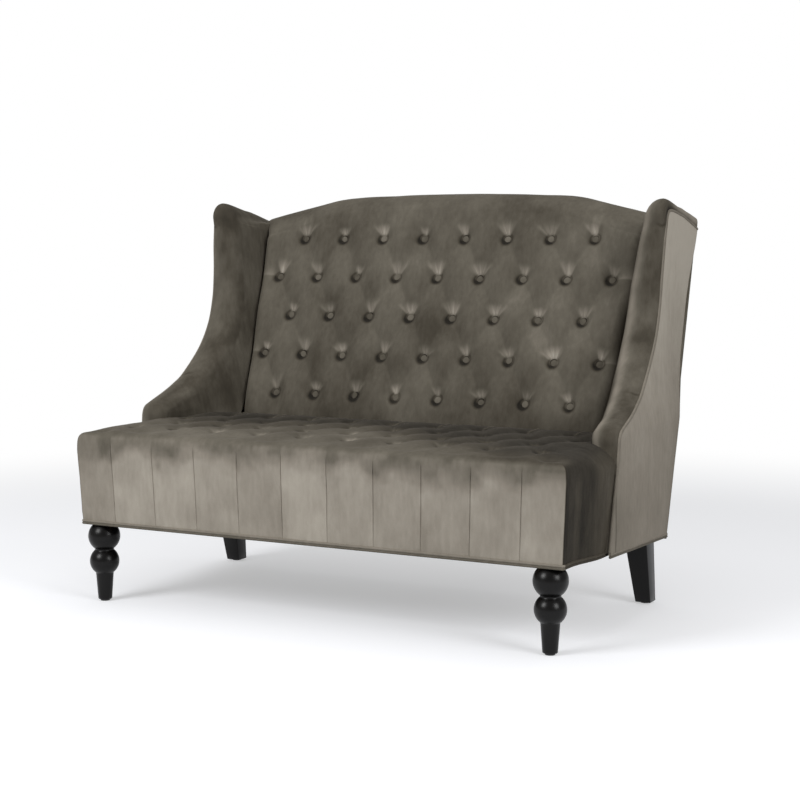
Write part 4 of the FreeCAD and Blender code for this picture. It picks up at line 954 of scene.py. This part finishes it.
def buttons(name, places, frame_of, tone):
    """All the buttons of a face in one piece, each pulled in a little askew."""
    rng = np.random.default_rng(17)
    blank, blank_faces = button_blank()
    # Painted shade on each button's edge, where it sinks into its pit
    rim = smooth(0.60, 0.90, np.hypot(blank[:, 0], blank[:, 1]) / BUTTON_RADIUS)
    verts, faces, nap_and_painted_light = [], [], []
    for spot in places:
        origin, plane = frame_of(*spot)
        out = unit([*rng.normal(0, 0.09, 2), 1] @ plane)
        side = unit(plane[0] - out * (plane[0] @ out))
        origin = origin + [*rng.normal(0, 0.6, 2), 0] @ plane
        faces += [[len(verts) + i for i in face] for face in blank_faces]
        verts += list(origin + blank @ np.stack([side, np.cross(out, side), out]))
        nap_and_painted_light += list(tone + rng.uniform(-0.1, 0.1) - 0.5 * rim)
    return outward(new_object(name, verts, faces, np.array(nap_and_painted_light), VELVET_EDGE))


def back_button_frame(x, v):
    """Middle of a button's underside, and the directions across, up and out of the face there."""
    lean, rise = sin(BACK_RAKE), cos(BACK_RAKE)
    return np.array([x, *back_point(v, 0.8)]), np.array([(1, 0, 0), (0, lean, rise), (0, -rise, lean)])


def seat_button_frame(x, y):
    return np.array([x, y, SEAT_PIT_Z + 0.2]), np.eye(3)


# Legs

def bulb(radius, z, first, last, count):
    """Ball-shaped part of a profile, between two angles from its top."""
    return [(radius * sin(a), z + radius * cos(a)) for a in np.linspace(first, last, count)]


def front_leg():
    """Turned leg: cap, two ball-shaped bulbs with tight necks, and a tapered shank with a rounded foot."""
    top = hem_height(FRONT_LEG[1]) + LEG_INSIDE
    cap, cap_z = LEG_CAP
    neck, neck_height = LEG_NECK
    upper_low = UPPER_BULB_Z - sqrt(UPPER_BULB ** 2 - neck ** 2)
    lower_top = upper_low - neck_height
    lower_z = lower_top - sqrt(LOWER_BULB ** 2 - neck ** 2)
    lower_low = lower_z - sqrt(LOWER_BULB ** 2 - LEG_SHANK ** 2)
    shank = LEG_SHANK - 0.4
    profile = [(0, top), (LEG_SPIGOT, top), (LEG_SPIGOT, cap_z), (cap, cap_z)]
    profile += bulb(UPPER_BULB, UPPER_BULB_Z, acos((cap_z - 0.5 - UPPER_BULB_Z) / UPPER_BULB),
                    pi - asin(neck / UPPER_BULB), 30)
    profile += [(neck - 0.9, upper_low - 1.6), (neck - 0.9, lower_top + 1.6)]
    profile += bulb(LOWER_BULB, lower_z, asin(neck / LOWER_BULB),
                    pi - asin(LEG_SHANK / LOWER_BULB), 28)
    profile += [(shank, lower_low - 1.8)]
    profile += [(shank + (LEG_FOOT - shank) * t, lower_low + (6.5 - lower_low) * t)
                for t in np.linspace(0.08, 0.95, 8)]
    profile += [(LEG_FOOT, 5.4), (LEG_FOOT - 0.9, 3.9), (LEG_FOOT - 2.6, 3.1), (0, GLIDE_TOP)]
    return outward(new_object("right_front_leg_turned", *lathe(profile, 56, FRONT_LEG), finish=LEG_WOOD))


def rear_leg():
    """Square tapered leg with eased edges, splayed to the rear, with its top cut to the frame's slope."""
    (foot_x, foot_y), (top_x, top_y), (small, large) = REAR_LEG_FOOT, REAR_LEG_TOP, REAR_LEG_WIDTHS
    t = np.linspace(0, 1, 9)[:, None]
    straight = mix(small, large, t) / 2 - LEG_EASE
    turn = (np.arange(4)[:, None] * pi / 2 + np.linspace(0, pi / 2, 4)).ravel()
    x = mix(foot_x, top_x, t) + np.repeat([1, -1, -1, 1], 4) * straight + LEG_EASE * np.cos(turn)
    y = mix(foot_y, top_y, t) + np.repeat([1, 1, -1, -1], 4) * straight + LEG_EASE * np.sin(turn)
    rings = points(x, y, GLIDE_TOP + (hem_height(y) + LEG_INSIDE - GLIDE_TOP) * t)
    foot = np.array([foot_x, foot_y, GLIDE_TOP])
    eased = foot + (rings[0] - foot) * 0.95
    rings = np.array([eased, rings[0] + (0, 0, 1.2), *rings[1:]])
    leg = ringed("right_rear_leg_tapered", rings, 0.5, LEG_WOOD)
    leg.data.set_sharp_from_angle(angle=LEG_CRISP)
    return leg


# Materials

def linear(r, g, b):
    """Linear colour from 0 to 255 values as a screen shows them."""
    def one(c):
        c = c / 255
        return c / 12.92 if c <= 0.04045 else ((c + 0.055) / 1.055) ** 2.4
    return one(r), one(g), one(b), 1


def wire(tree, node, inputs):
    """Sets a node's inputs to values, or links them to other nodes' outputs."""
    for socket, value in inputs.items():
        if isinstance(value, bpy.types.NodeSocket):
            tree.links.new(value, node.inputs[socket])
        else:
            node.inputs[socket].default_value = value


def new_node(tree, kind, inputs, **settings):
    """Outputs of a new node."""
    node = tree.nodes.new("ShaderNode" + kind)
    for name, value in settings.items():
        setattr(node, name, value)
    wire(tree, node, inputs)
    return node.outputs


def math_node(tree, operation, *values):
    return new_node(tree, "Math", dict(enumerate(values)), operation=operation)[0]


def noise_node(tree, scale, detail, stretch=EVEN, roughness=0.55):
    """Noise over the object's own coordinates."""
    spot = new_node(tree, "TexCoord", {})["Object"]
    mapped = new_node(tree, "Mapping", {"Vector": spot, "Scale": stretch})["Vector"]
    inputs = {"Vector": mapped, "Scale": scale, "Detail": detail, "Roughness": roughness}
    return new_node(tree, "TexNoise", inputs)["Fac"]


def ramp_node(tree, value, stops):
    """Colour between stops, each a position and a colour from 0 to 255."""
    blended = new_node(tree, "ValToRGB", {"Fac": value})["Color"]
    elements = blended.node.color_ramp.elements
    while len(elements) < len(stops):
        elements.new(0.5)
    for element, (position, colour) in zip(elements, stops):
        element.position = position
        element.color = linear(*colour)
    return blended


def bump_node(tree, height, distance, strength, **under):
    inputs = {"Height": height, "Distance": distance, "Strength": strength}
    return new_node(tree, "Bump", {**inputs, **under})["Normal"]


def new_material(name):
    material = bpy.data.materials.new(name)
    material.use_nodes = True
    return material, material.node_tree, material.node_tree.nodes["Principled BSDF"]


def velvet(name, lift=0.0):
    """Brushed taupe-grey velvet: light where the pile lies towards the light and dark against it, with
    painted light and shade laid over the pile's tone.
    """
    material, tree, shader = new_material(name)
    # Tone of the pile, with the painted light and shade, from each vertex
    pile_and_painted_light = new_node(tree, "Attribute", {}, attribute_name="nap_and_painted_light")["Fac"]
    for scale, detail, stretch, share, shift in (
        (9, 4, EVEN, 0.16, -0.08 + lift),
        (60, 4, (1.6, 1.6, 0.55), 0.16, -0.08),
        (900, 2, EVEN, 0.10, -0.05),
    ):
        patches = noise_node(tree, scale, detail, stretch)
        pile_and_painted_light = math_node(tree, "ADD", pile_and_painted_light, math_node(tree, "MULTIPLY_ADD", patches, share, shift))
    pile = bump_node(tree, noise_node(tree, 1400, 2), 0.0004, 0.35)
    wire(tree, shader, {
        "Base Color": ramp_node(tree, pile_and_painted_light, VELVET_STOPS),
        "Roughness": 0.85,
        "Specular IOR Level": 0.15,
        "Sheen Weight": 0.14,
        "Sheen Roughness": 0.36,
        "Sheen Tint": linear(*VELVET_SHEEN),
        "Normal": bump_node(tree, noise_node(tree, 70, 3), 0.0012, 0.35, Normal=pile),
    })
    return material


def leg_finish():
    """Near-black satin stain over close-grained wood."""
    material, tree, shader = new_material("leg wood")
    grain = noise_node(tree, 60, 5, (6, 6, 0.6), 0.6)
    wire(tree, shader, {
        "Base Color": ramp_node(tree, grain, [(0.3, (9, 8, 8)), (0.7, (14, 13, 12))]),
        "Roughness": math_node(tree, "MULTIPLY_ADD", noise_node(tree, 30, 3), 0.08, 0.26),
        "Specular IOR Level": 0.22,
    })
    return material


def plain(name, dark, light, scale, stretch=EVEN, roughness=0.8, bump=0.0003, metallic=0.0):
    """Material of a hidden or small piece: two tones of noise with matching relief."""
    material, tree, shader = new_material(name)
    grain = noise_node(tree, scale, 5, stretch)
    wire(tree, shader, {
        "Base Color": ramp_node(tree, grain, [(0.3, dark), (0.7, light)]),
        "Roughness": roughness,
        "Metallic": metallic,
        "Normal": bump_node(tree, grain, bump, 0.5),
    })
    return material


VELVET = velvet("brushed velvet"), "velvet"
VELVET_EDGE = velvet("velvet piping", -0.02), "velvet"
LEG_WOOD = leg_finish(), "leg_wood"


def dress_nodes():
    """Finishes of the CAD pieces that stay: the frame, the webbing, the cloths, the bolts and the glides."""
    for names, *look in (
        ("front_seat_rail rear_seat_rail left_seat_rail right_seat_rail seat_cross_rails corner_blocks "
         "left_back_post right_back_post back_lower_rail back_top_rail back_centre_stile",
         "sawn frame wood", (172, 138, 96), (208, 176, 132), 30, (8, 1, 8)),
        ("left_wing_frame right_wing_frame",
         "plywood", (186, 152, 108), (216, 186, 142), 24, (1, 1, 14)),
        ("seat_webbing_long seat_webbing_cross back_webbing",
         "woven webbing", (92, 80, 62), (130, 116, 94), 500, (1, 3, 1), 0.9),
        ("seat_deck_cloth", "deck cloth", (178, 168, 150), (204, 196, 180), 700, EVEN, 0.9),
        ("dust_cover", "black underside cloth", (14, 14, 14), (30, 30, 30), 400, EVEN, 0.95),
        ("leg_bolts", "zinc plated steel", (150, 150, 152), (190, 190, 192), 120, EVEN, 0.35, 0.0001, 1),
        ("leg_glides", "glide plastic", (24, 24, 24), (38, 38, 38), 200, EVEN, 0.5),
    ):
        material = plain(*look)
        for name in names.split():
            mesh = frame["nodes"][name].data
            mesh.materials.clear()
            mesh.materials.append(material)


# Putting it together

def place(piece, *nodes):
    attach(piece, "root")
    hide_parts(*nodes)
    return piece


dress_nodes()
place(back_cover(), "back_cover", "back_foam")
seat = place(seat_cover(), "seat_cover", "left_seat_side_cover", "right_seat_side_cover", "seat_foam")
place(wing_cover(1), "right_wing_cover", "right_wing_padding")
place(wing_cover(-1), "left_wing_cover", "left_wing_padding")
for make, left_name, node in (
    (outer_panel, "left_outer_side", "outer_panel"),
    (wing_welt, "left_wing_piping", "wing_welt"),
    (side_hem, "left_hem_piping", "side_hem_welt"),
    (front_leg, "left_front_leg_turned", "front_leg"),
    (rear_leg, "left_rear_leg_tapered", "rear_leg"),
):
    piece = make()
    place(mirrored(piece, left_name), "left_" + node)
    place(piece, "right_" + node)
place(seat_hem(), "seat_welt")
place(rear_hem(), "rear_hem_welt")
place(outside_back(), "outside_back")
place(buttons("back_button_domes", BACK_BUTTONS, back_button_frame, 0.44), "back_buttons")
place(buttons("seat_button_domes", SEAT_BUTTONS, seat_button_frame, 0.26), "seat_buttons")


# Floor, light and camera

def floor():
    """Pale floor, white to the camera, that keeps the object's shadow."""
    corners = [(x * FLOOR_REACH, y * FLOOR_REACH, FLOOR_Z) for x, y in ((-1, -1), (1, -1), (1, 1), (-1, 1))]
    obj = new_object("floor", corners, [[0, 1, 2, 3]])
    material, tree, _ = new_material("pale floor")
    tree.nodes.clear()
    rays = new_node(tree, "LightPath", {})
    seen = math_node(tree, "MAXIMUM", rays["Is Camera Ray"], rays["Is Glossy Ray"])
    seen = math_node(tree, "MAXIMUM", seen, rays["Is Transmission Ray"])
    lit = new_node(tree, "BsdfDiffuse", {"Color": FLOOR_COLOUR})[0]
    glow = new_node(tree, "Emission", {"Strength": math_node(tree, "MULTIPLY", seen, FLOOR_GLOW)})[0]
    near = new_node(tree, "AddShader", {0: lit, 1: glow})[0]
    white = new_node(tree, "Emission", {"Strength": seen})[0]
    spot = new_node(tree, "TexCoord", {})["Object"]
    distance = new_node(tree, "VectorMath", {0: spot}, operation="LENGTH")["Value"]
    span = {"Value": distance, "From Min": FLOOR_FADE[0], "From Max": FLOOR_FADE[1]}
    far = new_node(tree, "MapRange", span, interpolation_type="SMOOTHSTEP")[0]
    mixed = new_node(tree, "MixShader", {0: far, 1: near, 2: white})[0]
    new_node(tree, "OutputMaterial", {"Surface": mixed})
    obj.data.materials.append(material)


def world():
    """Even studio surroundings, white to the camera."""
    studio = bpy.data.worlds.new("studio")
    scene.world = studio
    studio.use_nodes = True
    tree = studio.node_tree
    rays = new_node(tree, "LightPath", {})
    seen = math_node(tree, "MAXIMUM", rays["Is Camera Ray"], rays["Is Transmission Ray"])
    strength = math_node(tree, "MULTIPLY_ADD", seen, 1 - WORLD_LIGHT, WORLD_LIGHT)
    wire(tree, tree.nodes["Background"], {"Color": (1, 1, 1, 1), "Strength": strength})


def aimed(name, data, spot, aim):
    """Lamp or camera at a spot, pointed at another."""
    obj = bpy.data.objects.new(name, data)
    obj.location = spot
    obj.rotation_euler = (Vector(aim) - Vector(spot)).to_track_quat("-Z", "Y").to_euler()
    scene.collection.objects.link(obj)
    return obj


def softbox(name, spot, aim, power, width, height):
    light = bpy.data.lights.new(name, "AREA")
    light.shape = "RECTANGLE"
    light.size, light.size_y = width, height
    light.energy = power
    aimed(name, light, spot, aim)


def camera():
    data = bpy.data.cameras.new("camera")
    data.lens = CAMERA_LENS
    data.sensor_width = CAMERA_SENSOR
    data.shift_x, data.shift_y = CAMERA_SHIFT
    scene.camera = aimed("camera", data, CAMERA_SPOT, CAMERA_AIM)


floor()
world()
for lamp in SOFTBOXES:
    softbox(*lamp)
camera()
scene.view_settings.view_transform = "Standard"
